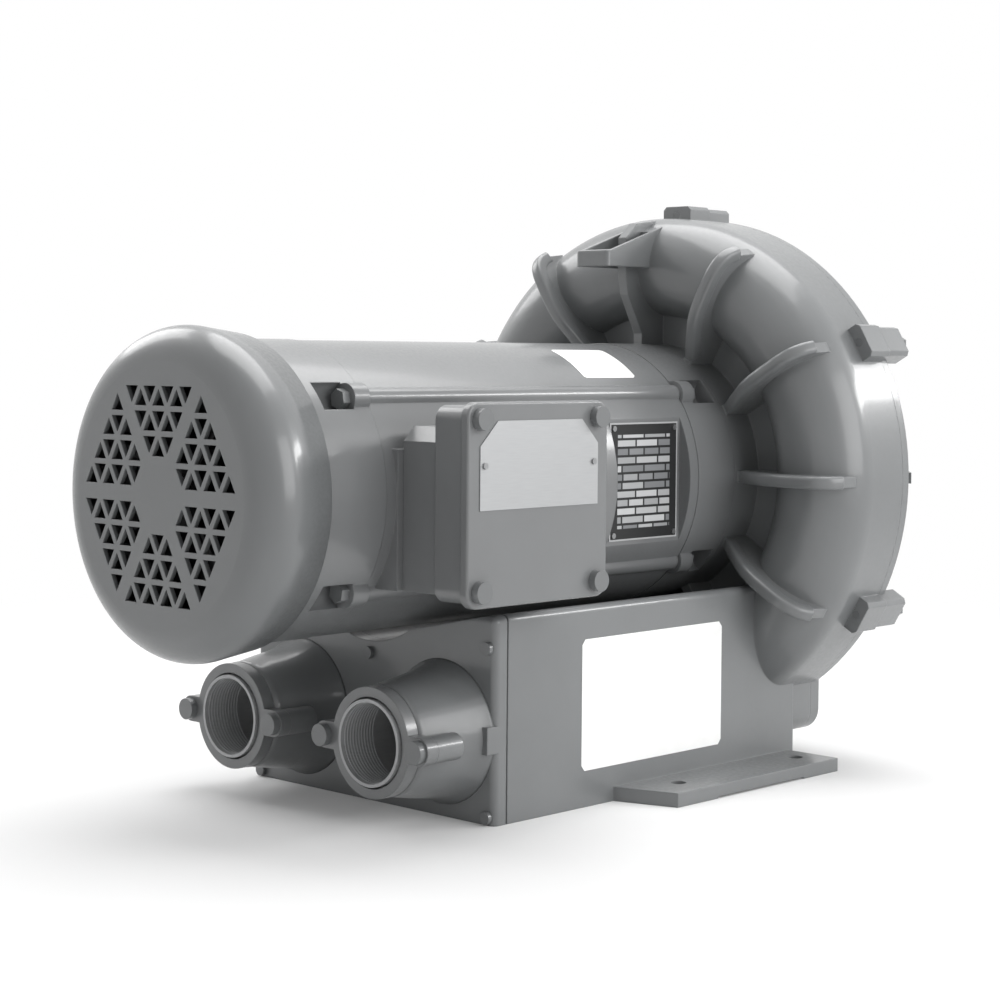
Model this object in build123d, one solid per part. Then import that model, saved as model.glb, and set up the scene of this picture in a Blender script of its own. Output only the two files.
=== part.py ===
from build123d import *
from math import cos, radians, sin, sqrt, tan
import os

# Side channel blower: a cast two-half channel housing on a muffler base, driven by a flanged,
# fan-cooled, explosion-proof motor. Millimetres. X runs across, +Y along the shaft from the motor's
# fan towards the channel, +Z up. The origin is on the floor, at the centre of the four foot holes.

# Clearances
FIT = 0.05              # beside round seats, bolts and other pieces that are pushed together
RUN = 0.4               # beside pieces that turn
BEARING_FIT = 0.03      # between the balls and their races

# Shaft line and its place
SHAFT_HEIGHT = 278.7
SPLIT_Y = 154.8         # joint face of the two channel halves, from the middle of the foot holes

# Side channel and its housing half
CHANNEL_R = 205.0       # shaft line to the middle of the channel
CHANNEL_BORE_R = 42.0
CHANNEL_WALL = 7.0
COVER_BORE_R = 39.0
WEB_THICKNESS = 8.0
HUB_R = 127.0
HUB_LENGTH = 37.0       # web to the face that carries the motor
HUB_FLOOR = 16.0
HUB_WALL = 9.0
STRIPPER_ANGLE = 25.0   # sector where the channel is closed between inlet and outlet
DUCT_ANGLE = 23.0       # duct centres, either side of straight down
DUCT_R = 33.0

# Impeller
IMPELLER_WIDTH = 48.4
IMPELLER_GAP = 0.8      # each side and at the tips
BLADE_COUNT = 40
BLADE_THICKNESS = 3.2
IMPELLER_RING = 8.0
IMPELLER_DISC = 10.0
IMPELLER_HUB_R = 34.0
SPLITTER = 4.0
SPLITTER_REACH = 0.6    # share of the blades' length that the splitter between them covers

# Ribs, perimeter lugs and the lifting lug
RIB_COUNT = 12
RIB_THICKNESS = 10.5
RIB_HEIGHT = 17.0       # over the channel's crest
COVER_RIB_HEIGHT = 10.0
LUG_COUNT = 6
LUG_REACH = 13.3        # past the rim
LUG_WIDTH = 34.8
LUG_LENGTH = 31.4       # housing side
COVER_LUG_LENGTH = 34.0
COVER_LUG_STEP = 1.5
RIM_FLANGE = 10.0
LUG_BOLT_R = 4.0
LUG_BOLT_INSET = 4.4    # bolt centre past the rim
EYE_WIDTH = 42.0
EYE_HEIGHT = 217.3      # top of its front lip over the shaft line
EYE_LIP = 15.0
EYE_RISE = 29.0
EYE_REACH = 63.0        # in front of the channel crest
EYE_WALL = 4.5
EYE_BAR = 9.0           # thickness of the bar in front

# Base and feet
BASE_WIDTH = 308.0
BASE_HEIGHT = 176.0
BASE_FRONT = 417.4      # front of the manifold from the base's rear face
BASE_REAR_Y = 120.8
BASE_WALL = 9.0
BASE_FLOOR = 12.0
BASE_EDGE = 6.0
DECK_LOW = 141.0        # deck height under the motor
DECK_SIDE = 155.0
DECK_BREAK = 50.0       # where the slope of the deck starts
PLENUM_HEIGHT = 124.0
CENTRE_WALL = 12.0
REAR_WALL = 6.0         # plenum to the channel's crest
SKIRT_WIDTH = 300.0
SKIRT_LOW = 25.0
SKIRT_HIGH = 78.0
SKIRT_CORNER = 22.0
COVER_SKIRT = 14.0
FOOT_SPREAD = 362.4
FOOT_PITCH = 175.53
FOOT_HOLE_R = 7.0
FOOT_WIDTH = 424.0
FOOT_THICKNESS = 12.6
FOOT_REAR = 26.0        # past the hole centres
FOOT_FRONT = 57.0
FOOT_SLANT = 19.0
FOOT_RELIEF = 1.5
RELIEF_FRONT = 18.5
RELIEF_REAR = 28.0

# Port manifold, flanges and mufflers
PORT_SPACING = 181.6
PORT_HEIGHT = 72.5
PORT_BORE_R = 33.8
PORT_LENGTH = 82.6      # flange face to the manifold plate's face
MANIFOLD_PLATE = 14.0
GASKET = 1.5
NECK_R = 46.0
NECK_STEP_R = 50.0
NECK_FLARE_R = 60.0
NECK_STEP = 29.0
NECK_FLARE = 29.0
NECK_WALL = 6.0
FLANGE_R = 46.5
FLANGE_THICKNESS = 12.0
FLANGE_EAR_R = 11.5
FLANGE_BOLT_SPREAD = 114.0
FLANGE_BOLT_R = 5.0
FLANGE_HEAD_R = 9.5
FLANGE_HEAD = 6.5
TUBE_WALL = 2.7
TUBE_LIP = 2.5          # tube end in front of the flange
TUBE_LENGTH = 330.0
THREAD_LENGTH = 40.0
THREAD_RELIEF = 0.9
TUBE_GAP = 1.6          # dark ring between tube and flange
TUBE_SLOT_COUNT = 4
TUBE_SLOT_ROWS = 4
FOAM_LENGTH = 270.0
MANIFOLD_SCREW_R = 3.0
MANIFOLD_HEAD_R = 5.5
MANIFOLD_HEAD = 4.0
MANIFOLD_SCREW_INSET = 13.0
TAB_HEIGHT = 23.0
TAB_WIDTH = 22.0
TAB_DEPTH = 9.0

# Motor shell
FRAME_R = 126.5
FRAME_BORE_R = 107.5
FRAME_LENGTH = 401.0
RAIL_R = 9.0
RAIL_CENTRE = 122.5
RAIL_ANGLE = 40.0
PLATE_FLAT = 112.5      # flat for the rating plate, from the shaft line
PLATE_FLAT_REAR = 12.0
PLATE_FLAT_LENGTH = 104.0
REGISTER_R = 107.95
REGISTER_LENGTH = 5.0
MOUNT_BOLT_R = 6.35
MOUNT_BOLT_CIRCLE = 92.1
DRIVE_BRACKET_LENGTH = 55.0
FAN_BRACKET_LENGTH = 64.0
BRACKET_R = 127.3
BRACKET_WALL = 14.0
SPIGOT_LENGTH = 9.0
EAR_R = 13.0
EAR_LENGTH = 17.0
POCKET_LENGTH = 32.0
BRACKET_BOLT_R = 5.0
BRACKET_HEAD_R = 8.5
BRACKET_HEAD = 8.0
BRACKET_BOLT_LENGTH = 52.0

# Fan cover and cooling fan
COVER_RIM_R = 132.6
COVER_MAX_R = 137.0
FAN_COVER_LENGTH = 69.0
COVER_TAPER = 34.0      # rim to the widest place
COVER_EDGE_R = 28.0
FAN_COVER_WALL = 4.0
COVER_LAP = 9.0
COVER_EAR = 5.0
COVER_SCREW_R = 2.5
COVER_SCREW_HEAD_R = 4.5
COVER_SCREW_HEAD = 4.0
COVER_SCREW_LENGTH = 14.0
COVER_SCREW_CIRCLE = 121.0
WELL_R = 11.0           # scallop over each fan cover screw
WELL_CENTRE = 127.0
WELL_DEPTH = 17.0
GRILLE_R = 103.0
GRILLE_SPOKE = 9.0
GRILLE_ROWS = 4
GRILLE_WEB = 4.4
FAN_R = 104.0
FAN_BLADES = 7
FAN_WIDTH = 34.0
FAN_BLADE = 3.5
FAN_HUB_R = 26.0
FAN_PLATE = 4.0
FAN_GAP = 10.0

# Stator, rotor and shaft
STATOR_LENGTH = 140.0
STATOR_BORE_R = 66.0
SLOT_COUNT = 24
SLOT_DEPTH = 18.0
SLOT_WIDTH = 9.0
TOOTH_TIP = 2.5
END_TURN = 42.0
AIR_GAP = 0.6
END_RING = 14.0
SHAFT_R = 24.0
DRIVE_SEAT_R = 20.0
FAN_SEAT_R = 17.5
FAN_SHAFT_R = 15.0
DRIVE_END_R = 17.46
SHAFT_EXTENSION = 76.0
KEY_WIDTH = 7.94
KEY_LENGTH = 32.0

# Bearings
DRIVE_BEARING_R = 45.0
DRIVE_BEARING_WIDTH = 23.0
DRIVE_BALL_R = 7.54
DRIVE_BALLS = 8
FAN_BEARING_R = 36.0
FAN_BEARING_WIDTH = 17.0
FAN_BALL_R = 5.55
FAN_BALLS = 9
BEARING_SHOULDER = 5.0
SPRING_HEIGHT = 2.4
SEAL_R = 27.0
SEAL_WIDTH = 8.0

# Conduit box on the motor's side
BOX_FRONT_OFFSET = 14.0     # frame's front end to the box
BOX_LENGTH = 160.0
BOX_LOW = -83.0             # from the shaft line
BOX_HIGH = 75.0
BOX_PAD_X = 128.0
BOX_NECK_X = 168.0
BOX_FACE_X = 200.0
BOX_WALL = 7.0
BOX_CORNER = 12.0
NECK_INSET = 6.0
NECK_TOP_DROP = 18.0
PAD_TOP_DROP = 37.0
NECK_CHAMFER = 12.0
BOX_COVER = 8.0
BOX_COVER_LAP = 3.0
BOX_BOSS_R = 12.0
BOX_BOSS_INSET = 10.5
BOX_BOLT_R = 4.0
BOX_HEAD_R = 9.0
BOX_HEAD = 7.0
CONDUIT_BORE_R = 14.7
CONDUIT_HUB = 17.0      # threaded depth of the conduit entry
WIRE_BORE_R = 18.0
DATA_PLATE = 0.8
DATA_PLATE_LENGTH = 140.0
DATA_PLATE_HEIGHT = 71.0
DATA_PLATE_CLIP = 20.0
RATING_PLATE_LENGTH = 96.0
RATING_PLATE_HEIGHT = 108.0
RIVET_R = 2.6
RIVET_HEAD = 1.4

# Stations along the shaft that follow from the sizes above
chamber_y = SPLIT_Y - IMPELLER_WIDTH - 2 * IMPELLER_GAP
web_y = chamber_y - WEB_THICKNESS
motor_face_y = web_y - HUB_LENGTH
hub_floor_y = motor_face_y + HUB_FLOOR
frame_rear_y = motor_face_y - DRIVE_BRACKET_LENGTH
frame_front_y = frame_rear_y - FRAME_LENGTH
fan_bracket_y = frame_front_y - FAN_BRACKET_LENGTH
fan_face_y = fan_bracket_y - FAN_COVER_LENGTH
shaft_end_y = motor_face_y + SHAFT_EXTENSION
crest_y = chamber_y - CHANNEL_BORE_R - CHANNEL_WALL
manifold_y = BASE_REAR_Y - BASE_FRONT
gasket_y = manifold_y + MANIFOLD_PLATE
base_front_y = gasket_y + GASKET
plenum_rear_y = crest_y - REAR_WALL
flange_y = manifold_y - PORT_LENGTH

# Radii that follow
channel_outer_r = CHANNEL_BORE_R + CHANNEL_WALL
cover_outer_r = COVER_BORE_R + CHANNEL_WALL
chamber_r = CHANNEL_R + CHANNEL_BORE_R
rim_r = chamber_r + CHANNEL_WALL
hub_pocket_r = HUB_R - HUB_WALL
lug_bolt_circle = rim_r + LUG_BOLT_INSET
impeller_r = chamber_r - IMPELLER_GAP
blade_root_r = CHANNEL_R - CHANNEL_BORE_R
tube_r = PORT_BORE_R + TUBE_WALL

SHAFT_LINE = Axis((0, 0, 0), (0, 1, 0))
LIFT = Pos(0, 0, SHAFT_HEIGHT)
ROUND = 360


def span(x_low, x_high, y_low, y_high):
    """Flat rectangle between two x and two y values."""
    centre = Pos((x_low + x_high) / 2, (y_low + y_high) / 2)
    return centre * Rectangle(x_high - x_low, y_high - y_low)


def block(x_low, x_high, y_low, y_high, z_low, z_high):
    """Rectangular solid between three pairs of limits."""
    return extrude(Pos(0, 0, z_low) * span(x_low, x_high, y_low, y_high), amount=z_high - z_low)


def prism(shape, y_from, y_to):
    """Push an (x, z) section along the shaft from one station to another."""
    plane = Plane((0, y_from, 0), x_dir=(1, 0, 0), z_dir=(0, -1, 0))
    return extrude(plane * shape, amount=y_from - y_to)


def side_prism(shape, x_from, x_to):
    """Push a (y, z) outline sideways from one x to another."""
    plane = Plane((x_from, 0, 0), x_dir=(0, 1, 0), z_dir=(1, 0, 0))
    return extrude(plane * shape, amount=x_to - x_from)


def rod(x, z, radius, y_from, y_to):
    """Round bar or hole parallel to the shaft."""
    return prism(Pos(x, z) * Circle(radius), y_from, y_to)


def turned(outline):
    """Revolve an outline drawn as (radius, y) about the shaft line."""
    return revolve(outline, SHAFT_LINE)


def ring(inner_r, outer_r, y_from, y_to):
    """Plain ring about the shaft line."""
    return turned(span(inner_r, outer_r, y_from, y_to))


def polygon(*points):
    """Face inside a closed run of points."""
    return make_face(Polyline(*points, close=True).edges())


def about_shaft(piece, angle):
    """Turn a piece about the shaft line; the angle rises from +X towards +Z."""
    return Rot(0, -angle, 0) * piece


def bolt(x, z, y_seat, y_tip, shank_r, head_r, head, toward):
    """Bolt parallel to the shaft: the head stands off its seat on the side given by toward."""
    shank = rod(x, z, shank_r, min(y_seat, y_tip), max(y_seat, y_tip))
    hexagon = Pos(x, z) * RegularPolygon(head_r, 6)
    top = y_seat + toward * head
    return shank + prism(hexagon, min(y_seat, top), max(y_seat, top))


def rail_angles():
    """The four places round the motor where the rails and bracket ears are."""
    return [RAIL_ANGLE, 180 - RAIL_ANGLE, 180 + RAIL_ANGLE, -RAIL_ANGLE]


def lug_angles():
    """The places round the rim where the two channel halves are bolted."""
    return [90 + index * ROUND / LUG_COUNT for index in range(LUG_COUNT)]


def stripper(y_from, y_to):
    """Wedge that closes the channel between the inlet and the outlet, at the bottom."""
    slope = tan(radians(STRIPPER_ANGLE / 2))
    near = blade_root_r - CHANNEL_WALL
    far = rim_r
    wedge = polygon((-near * slope, -near), (near * slope, -near), (far * slope, -far), (-far * slope, -far))
    return prism(wedge, y_from, y_to)


def housing_rib():
    """One radial rib over the motor side of the channel, drawn along +X."""
    outline = polygon(
        (HUB_R - HUB_WALL / 2, motor_face_y + WEB_THICKNESS / 2),
        (HUB_R + RIB_THICKNESS, motor_face_y + WEB_THICKNESS / 2),
        (CHANNEL_R - 0.6 * channel_outer_r, crest_y - 0.8 * RIB_HEIGHT),
        (CHANNEL_R - 0.25 * channel_outer_r, crest_y - RIB_HEIGHT),
        (CHANNEL_R + 0.55 * channel_outer_r, crest_y - RIB_HEIGHT),
        (rim_r - CHANNEL_WALL, crest_y),
        (rim_r - CHANNEL_WALL / 2, chamber_y - CHANNEL_BORE_R / 2),
        (CHANNEL_R, crest_y + CHANNEL_WALL / 2),
        (blade_root_r, web_y + WEB_THICKNESS / 2),
        (HUB_R - HUB_WALL / 2, web_y + WEB_THICKNESS / 2),
    )
    return extrude(outline, amount=RIB_THICKNESS / 2, both=True)


def cover_rib():
    """One radial rib over the outer side of the channel, drawn along +X."""
    crest = SPLIT_Y + cover_outer_r
    outline = polygon(
        (COVER_BORE_R - WEB_THICKNESS, SPLIT_Y + WEB_THICKNESS / 2),
        (COVER_BORE_R - WEB_THICKNESS, SPLIT_Y + 2 * WEB_THICKNESS),
        (CHANNEL_R - 0.5 * cover_outer_r, crest + COVER_RIB_HEIGHT),
        (CHANNEL_R + 0.4 * cover_outer_r, crest + COVER_RIB_HEIGHT),
        (rim_r - CHANNEL_WALL, SPLIT_Y + 0.55 * cover_outer_r),
        (CHANNEL_R, SPLIT_Y + WEB_THICKNESS),
    )
    return extrude(outline, amount=RIB_THICKNESS / 2, both=True)


def rim_lug(reach, width, y_from, y_to):
    """Bolting lug on the rim, drawn along +X, with its outer edges eased."""
    lug = block(CHANNEL_R + CHANNEL_BORE_R, rim_r + reach, y_from, y_to, -width / 2, width / 2)
    outer = lug.edges().filter_by(Axis.Y).sort_by(Axis.X)[-2:]
    bored = chamfer(outer, CHANNEL_WALL / 2)
    return bored - rod(lug_bolt_circle, 0, LUG_BOLT_R + FIT, y_from, y_to)


def lifting_lug():
    """Lifting loop in front of the channel's top: a bar between two cheeks, in shaft coordinates."""
    lip_y = crest_y - EYE_REACH
    low = EYE_HEIGHT - EYE_LIP
    outline = polygon(
        (lip_y, low),
        (lip_y, EYE_HEIGHT),
        (lip_y + EYE_WALL, EYE_HEIGHT),
        (chamber_y - CHANNEL_BORE_R / 2, EYE_HEIGHT + EYE_RISE),
        (chamber_y, EYE_HEIGHT + EYE_RISE),
        (chamber_y, low),
    )
    lug = side_prism(outline, -EYE_WIDTH / 2, EYE_WIDTH / 2)
    corners = lug.edges().filter_by(Axis.Z).sort_by(Axis.Y)[:2]
    lug = fillet(corners, EYE_WALL)
    half_gap = EYE_WIDTH / 2 - EYE_WALL
    gap = block(-half_gap, half_gap, lip_y + EYE_BAR, crest_y + EYE_WALL, low, EYE_HEIGHT + EYE_RISE)
    return lug - gap


def base_section(inset):
    """Cross-section of the base with the hollow deck under the motor, drawn as (x, z)."""
    half = BASE_WIDTH / 2 - inset
    top = BASE_HEIGHT - inset
    side = (half - BASE_WALL, top)
    bend = (DECK_BREAK, DECK_SIDE)
    walls = Polyline((-bend[0], bend[1]), (-side[0], side[1]), (-half, top), (-half, 0), (half, 0),
                     (half, top), side, bend)
    deck = ThreePointArc(bend, (0, DECK_LOW), (-bend[0], bend[1]))
    section = make_face(walls.edges() + deck.edges())
    corners = [v for v in section.vertices() if abs(v.X) > half - 1 and v.Y > top - 1]
    return fillet(corners, BASE_EDGE)


def foot_plate():
    """Outline of both feet with the slanted front ends, drawn in plan."""
    half = FOOT_WIDTH / 2
    wall = BASE_WIDTH / 2
    front = -FOOT_PITCH / 2 - FOOT_FRONT
    rear = FOOT_PITCH / 2 + FOOT_REAR
    return polygon((-wall, front), (-half, front + FOOT_SLANT), (-half, rear), (half, rear),
                   (half, front + FOOT_SLANT), (wall, front))


def foot_holes():
    """The four holes that bolt the blower down."""
    return [extrude(place * Circle(FOOT_HOLE_R), amount=FOOT_THICKNESS)
            for place in GridLocations(FOOT_SPREAD, FOOT_PITCH, 2, 2)]


def plenums(inset, y_from, y_to):
    """The two muffler spaces in the base, smaller by an inset all round."""
    inner = CENTRE_WALL / 2 + inset
    outer = BASE_WIDTH / 2 - BASE_WALL - inset
    low = BASE_FLOOR + inset
    high = PLENUM_HEIGHT - inset
    return [block(side * inner if side > 0 else -outer, side * outer if side > 0 else -inner,
                  y_from, y_to, low, high) for side in (-1, 1)]


def skirt(y_from, y_to):
    """Square foot of the rim under the lower part of the channel."""
    half = SKIRT_WIDTH / 2
    shape = span(-half, half, SKIRT_LOW, SKIRT_HIGH)
    low = [v for v in shape.vertices() if v.Y < SKIRT_LOW + 1]
    return prism(fillet(low, SKIRT_CORNER), y_from, y_to)


def manifold_screw_places():
    """Screws that hold the port manifold on the base, as (x, z)."""
    side = BASE_WIDTH / 2 - MANIFOLD_SCREW_INSET / 1.6
    low = MANIFOLD_SCREW_INSET / 2
    high = DECK_SIDE - MANIFOLD_SCREW_INSET / 2
    return [(-side, low), (0, low), (side, low), (side, high), (0, PLENUM_HEIGHT + low), (-side, high)]


def blower_housing():
    """Channel half on the motor side, cast in one with the muffler base and the feet."""
    outline = Pos(CHANNEL_R, chamber_y) * Circle(channel_outer_r) + span(0, rim_r, chamber_y, SPLIT_Y)
    outline += span(0, CHANNEL_R, web_y, chamber_y) + span(0, HUB_R, motor_face_y, web_y)
    body = turned(outline)
    rib = housing_rib()
    body += [about_shaft(rib, index * ROUND / RIB_COUNT) for index in range(RIB_COUNT)]
    lug = rim_lug(LUG_REACH, LUG_WIDTH, SPLIT_Y - LUG_LENGTH, SPLIT_Y)
    body += [about_shaft(lug, angle) for angle in lug_angles()]
    body += lifting_lug()
    body = LIFT * body
    body += prism(base_section(0), base_front_y, BASE_REAR_Y)
    body += skirt(BASE_REAR_Y, SPLIT_Y)
    body += extrude(foot_plate(), amount=FOOT_THICKNESS)
    cavity = Pos(CHANNEL_R, chamber_y) * Circle(CHANNEL_BORE_R) + span(0, chamber_r, chamber_y, SPLIT_Y)
    cavity += span(0, hub_pocket_r, hub_floor_y, chamber_y)
    space = turned(cavity) - stripper(chamber_y - CHANNEL_BORE_R, chamber_y)
    for side in (-1, 1):
        angle = radians(side * DUCT_ANGLE - 90)
        space += rod(CHANNEL_R * cos(angle), CHANNEL_R * sin(angle), DUCT_R, plenum_rear_y - 1, chamber_y)
    space += ring(0, REGISTER_R + FIT, motor_face_y, motor_face_y + REGISTER_LENGTH + FIT)
    space += rod(0, 0, SEAL_R + FIT, motor_face_y, hub_floor_y)
    space += [about_shaft(rod(MOUNT_BOLT_CIRCLE, 0, MOUNT_BOLT_R + FIT, motor_face_y, hub_floor_y), angle)
              for angle in mount_bolt_angles()]
    body -= LIFT * space
    body -= plenums(0, base_front_y, plenum_rear_y)
    body -= foot_holes()
    half = FOOT_WIDTH / 2
    body -= block(-half, half, -FOOT_PITCH / 2 + RELIEF_FRONT, FOOT_PITCH / 2 - RELIEF_REAR, 0, FOOT_RELIEF)
    body -= [rod(x, z, MANIFOLD_SCREW_R + FIT, base_front_y, base_front_y + MANIFOLD_PLATE)
             for x, z in manifold_screw_places()]
    return body


def mount_bolt_angles():
    """The four bolts that hold the motor on the hub."""
    return [45, 135, 225, 315]


def blower_cover():
    """Outer channel half with its ribs and the matching lugs."""
    half = span(0, rim_r, SPLIT_Y, SPLIT_Y + cover_outer_r + 1)
    outline = (Pos(CHANNEL_R, SPLIT_Y) * Circle(cover_outer_r)) & half
    outline += span(0, CHANNEL_R, SPLIT_Y, SPLIT_Y + WEB_THICKNESS)
    outline += span(CHANNEL_R + COVER_BORE_R, rim_r, SPLIT_Y, SPLIT_Y + RIM_FLANGE)
    outline += span(0, COVER_BORE_R, SPLIT_Y, SPLIT_Y + 2 * WEB_THICKNESS)
    body = turned(outline)
    rib = cover_rib()
    body += [about_shaft(rib, index * ROUND / RIB_COUNT) for index in range(RIB_COUNT)]
    lug = rim_lug(LUG_REACH - COVER_LUG_STEP, LUG_WIDTH - 2 * COVER_LUG_STEP, SPLIT_Y,
                  SPLIT_Y + COVER_LUG_LENGTH)
    body += [about_shaft(lug, angle) for angle in lug_angles()]
    body = LIFT * body + skirt(SPLIT_Y, SPLIT_Y + COVER_SKIRT)
    channel = turned((Pos(CHANNEL_R, SPLIT_Y) * Circle(COVER_BORE_R)) & half)
    channel -= stripper(SPLIT_Y, SPLIT_Y + COVER_BORE_R)
    return body - LIFT * channel


def cover_bolts():
    """Bolts through the lugs, heads on the cover."""
    seat = SPLIT_Y + COVER_LUG_LENGTH
    one = bolt(lug_bolt_circle, 0, seat, SPLIT_Y - LUG_LENGTH, LUG_BOLT_R, 1.8 * LUG_BOLT_R,
               1.3 * LUG_BOLT_R, 1)
    return LIFT * Compound([about_shaft(one, angle) for angle in lug_angles()])


def impeller():
    """Disc with radial blades that are split in the middle, on a bored and keyed hub."""
    low = chamber_y + IMPELLER_GAP
    high = low + IMPELLER_WIDTH
    middle = (low + high) / 2
    blade = span(blade_root_r - IMPELLER_RING / 2, impeller_r, -BLADE_THICKNESS / 2, BLADE_THICKNESS / 2)
    section = Circle(blade_root_r) - Circle(blade_root_r - IMPELLER_RING)
    section += [Rot(0, 0, index * ROUND / BLADE_COUNT) * blade for index in range(BLADE_COUNT)]
    wheel = prism(section, low, high)
    splitter_r = blade_root_r + SPLITTER_REACH * (impeller_r - blade_root_r)
    wheel += ring(blade_root_r - IMPELLER_RING, splitter_r, middle - SPLITTER / 2, middle + SPLITTER / 2)
    wheel += ring(IMPELLER_HUB_R, blade_root_r - IMPELLER_RING / 2, middle - IMPELLER_DISC / 2,
                  middle + IMPELLER_DISC / 2)
    wheel += ring(DRIVE_END_R + FIT, IMPELLER_HUB_R, impeller_hub_y(), impeller_nose_y())
    return LIFT * (wheel - keyway(impeller_hub_y(), impeller_nose_y(), FIT))


def impeller_hub_y():
    """Motor-side end of the impeller's hub, on the shims."""
    return hub_floor_y + SEAL_WIDTH


def impeller_nose_y():
    """Outer end of the impeller's hub, just past the shaft's end."""
    return shaft_end_y + 2


def keyway(y_from, y_to, gap):
    """Square slot or key on top of the shaft's drive end."""
    half = KEY_WIDTH / 2 + gap
    return block(-half, half, y_from, y_to, DRIVE_END_R - KEY_WIDTH / 2 - gap, DRIVE_END_R + KEY_WIDTH / 2 + gap)


def impeller_key():
    """Square key between the shaft and the impeller."""
    start = shaft_end_y - KEY_LENGTH
    return LIFT * keyway(start, shaft_end_y, 0)


def impeller_shims():
    """Shim stack that sets the impeller's running gap, against the shaft's shoulder."""
    return LIFT * ring(DRIVE_END_R + FIT, DRIVE_END_R + 6, impeller_hub_y() - 2, impeller_hub_y())


def impeller_washer():
    """Thick washer under the impeller bolt."""
    low = impeller_nose_y()
    return LIFT * ring(5 + FIT, IMPELLER_HUB_R - 8, low, low + 4)


def impeller_bolt():
    """Bolt in the shaft's end that holds the impeller."""
    seat = impeller_nose_y() + 4
    return LIFT * bolt(0, 0, seat, shaft_end_y - 24, 5, 9, 7, 1)


def shaft_seal():
    """Lip seal in the housing's hub."""
    start = motor_face_y + REGISTER_LENGTH + 2
    body = ring(DRIVE_END_R + RUN, SEAL_R, start, start + SEAL_WIDTH)
    return LIFT * body


def port_manifold():
    """Cast front of the base with its two pipe necks."""
    plate = prism(base_section(0), manifold_y, gasket_y)
    front = plate.edges().filter_by(Axis.Z).group_by(Axis.Y)[0]
    plate = fillet(front, BASE_EDGE)
    body = plate
    step_y = flange_y + FLANGE_THICKNESS + NECK_STEP - FLANGE_THICKNESS
    for side in (-1, 1):
        x = side * PORT_SPACING / 2
        body += port_neck(x, step_y)
        body += port_tab(side)
    for side in (-1, 1):
        x = side * PORT_SPACING / 2
        body -= rod(x, PORT_HEIGHT, NECK_R - NECK_WALL, flange_y + FLANGE_THICKNESS, gasket_y)
        body -= [rod(x + ear * FLANGE_BOLT_SPREAD / 2, PORT_HEIGHT, FLANGE_BOLT_R + FIT,
                     flange_y + FLANGE_THICKNESS, flange_y + FLANGE_THICKNESS + NECK_STEP)
                 for ear in (-1, 1)]
    body -= [rod(x, z, MANIFOLD_SCREW_R + FIT, manifold_y, gasket_y) for x, z in manifold_screw_places()]
    return body


def port_neck(x, step_y):
    """One pipe neck: straight behind its flange, stepped, then flared into the plate."""
    seat = flange_y + FLANGE_THICKNESS
    outline = polygon((0, seat), (NECK_R, seat), (NECK_R, step_y), (NECK_STEP_R, step_y + NECK_FLARE / 2),
                      (NECK_STEP_R, step_y + NECK_FLARE), (NECK_FLARE_R, manifold_y), (NECK_FLARE_R, gasket_y),
                      (0, gasket_y))
    neck = turned(outline)
    neck += [rod(ear * FLANGE_BOLT_SPREAD / 2, 0, FLANGE_EAR_R, seat, seat + NECK_STEP) for ear in (-1, 1)]
    return Pos(x, 0, PORT_HEIGHT) * neck


def port_tab(side):
    """Wing between the outer side of a neck's flare and the base's side."""
    outer = BASE_WIDTH / 2
    inner = outer - TAB_WIDTH
    limits = (inner, outer) if side > 0 else (-outer, -inner)
    low = PORT_HEIGHT - TAB_HEIGHT / 2
    return block(*limits, manifold_y - TAB_DEPTH, manifold_y + BASE_EDGE, low, low + TAB_HEIGHT)


def manifold_gasket():
    """Gasket between manifold and base, with both plenums and all screws open."""
    sheet = prism(base_section(BASE_EDGE / 6), gasket_y, base_front_y)
    sheet -= plenums(-1, gasket_y, base_front_y)
    return sheet - [rod(x, z, MANIFOLD_SCREW_R + FIT, gasket_y, base_front_y) for x, z in manifold_screw_places()]


def manifold_screws():
    """Round-headed screws round the manifold."""
    tip = base_front_y + MANIFOLD_PLATE - 1
    screws = []
    for x, z in manifold_screw_places():
        shank = rod(x, z, MANIFOLD_SCREW_R, manifold_y, tip)
        screws.append(shank + rod(x, z, MANIFOLD_HEAD_R, manifold_y - MANIFOLD_HEAD, manifold_y))
    return Compound(screws)


def port_flange(x):
    """Round flange with two ears that clamps a muffler tube in its neck."""
    ears = [Pos(ear * FLANGE_BOLT_SPREAD / 2, 0) * Circle(FLANGE_EAR_R) for ear in (-1, 1)]
    bridge = Rectangle(FLANGE_BOLT_SPREAD, 2 * FLANGE_EAR_R)
    shape = Circle(FLANGE_R) + ears + bridge - Circle(tube_r + TUBE_GAP)
    shape -= [Pos(ear * FLANGE_BOLT_SPREAD / 2, 0) * Circle(FLANGE_BOLT_R + FIT) for ear in (-1, 1)]
    return prism(Pos(x, PORT_HEIGHT) * shape, flange_y, flange_y + FLANGE_THICKNESS)


def port_flange_bolts():
    """Two bolts with low round heads in each port flange."""
    bolts = []
    for side in (-1, 1):
        for ear in (-1, 1):
            x = side * PORT_SPACING / 2 + ear * FLANGE_BOLT_SPREAD / 2
            shank = rod(x, PORT_HEIGHT, FLANGE_BOLT_R, flange_y, flange_y + FLANGE_THICKNESS + NECK_STEP - 2)
            bolts.append(shank + rod(x, PORT_HEIGHT, FLANGE_HEAD_R, flange_y - FLANGE_HEAD, flange_y))
    return Compound(bolts)


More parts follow.
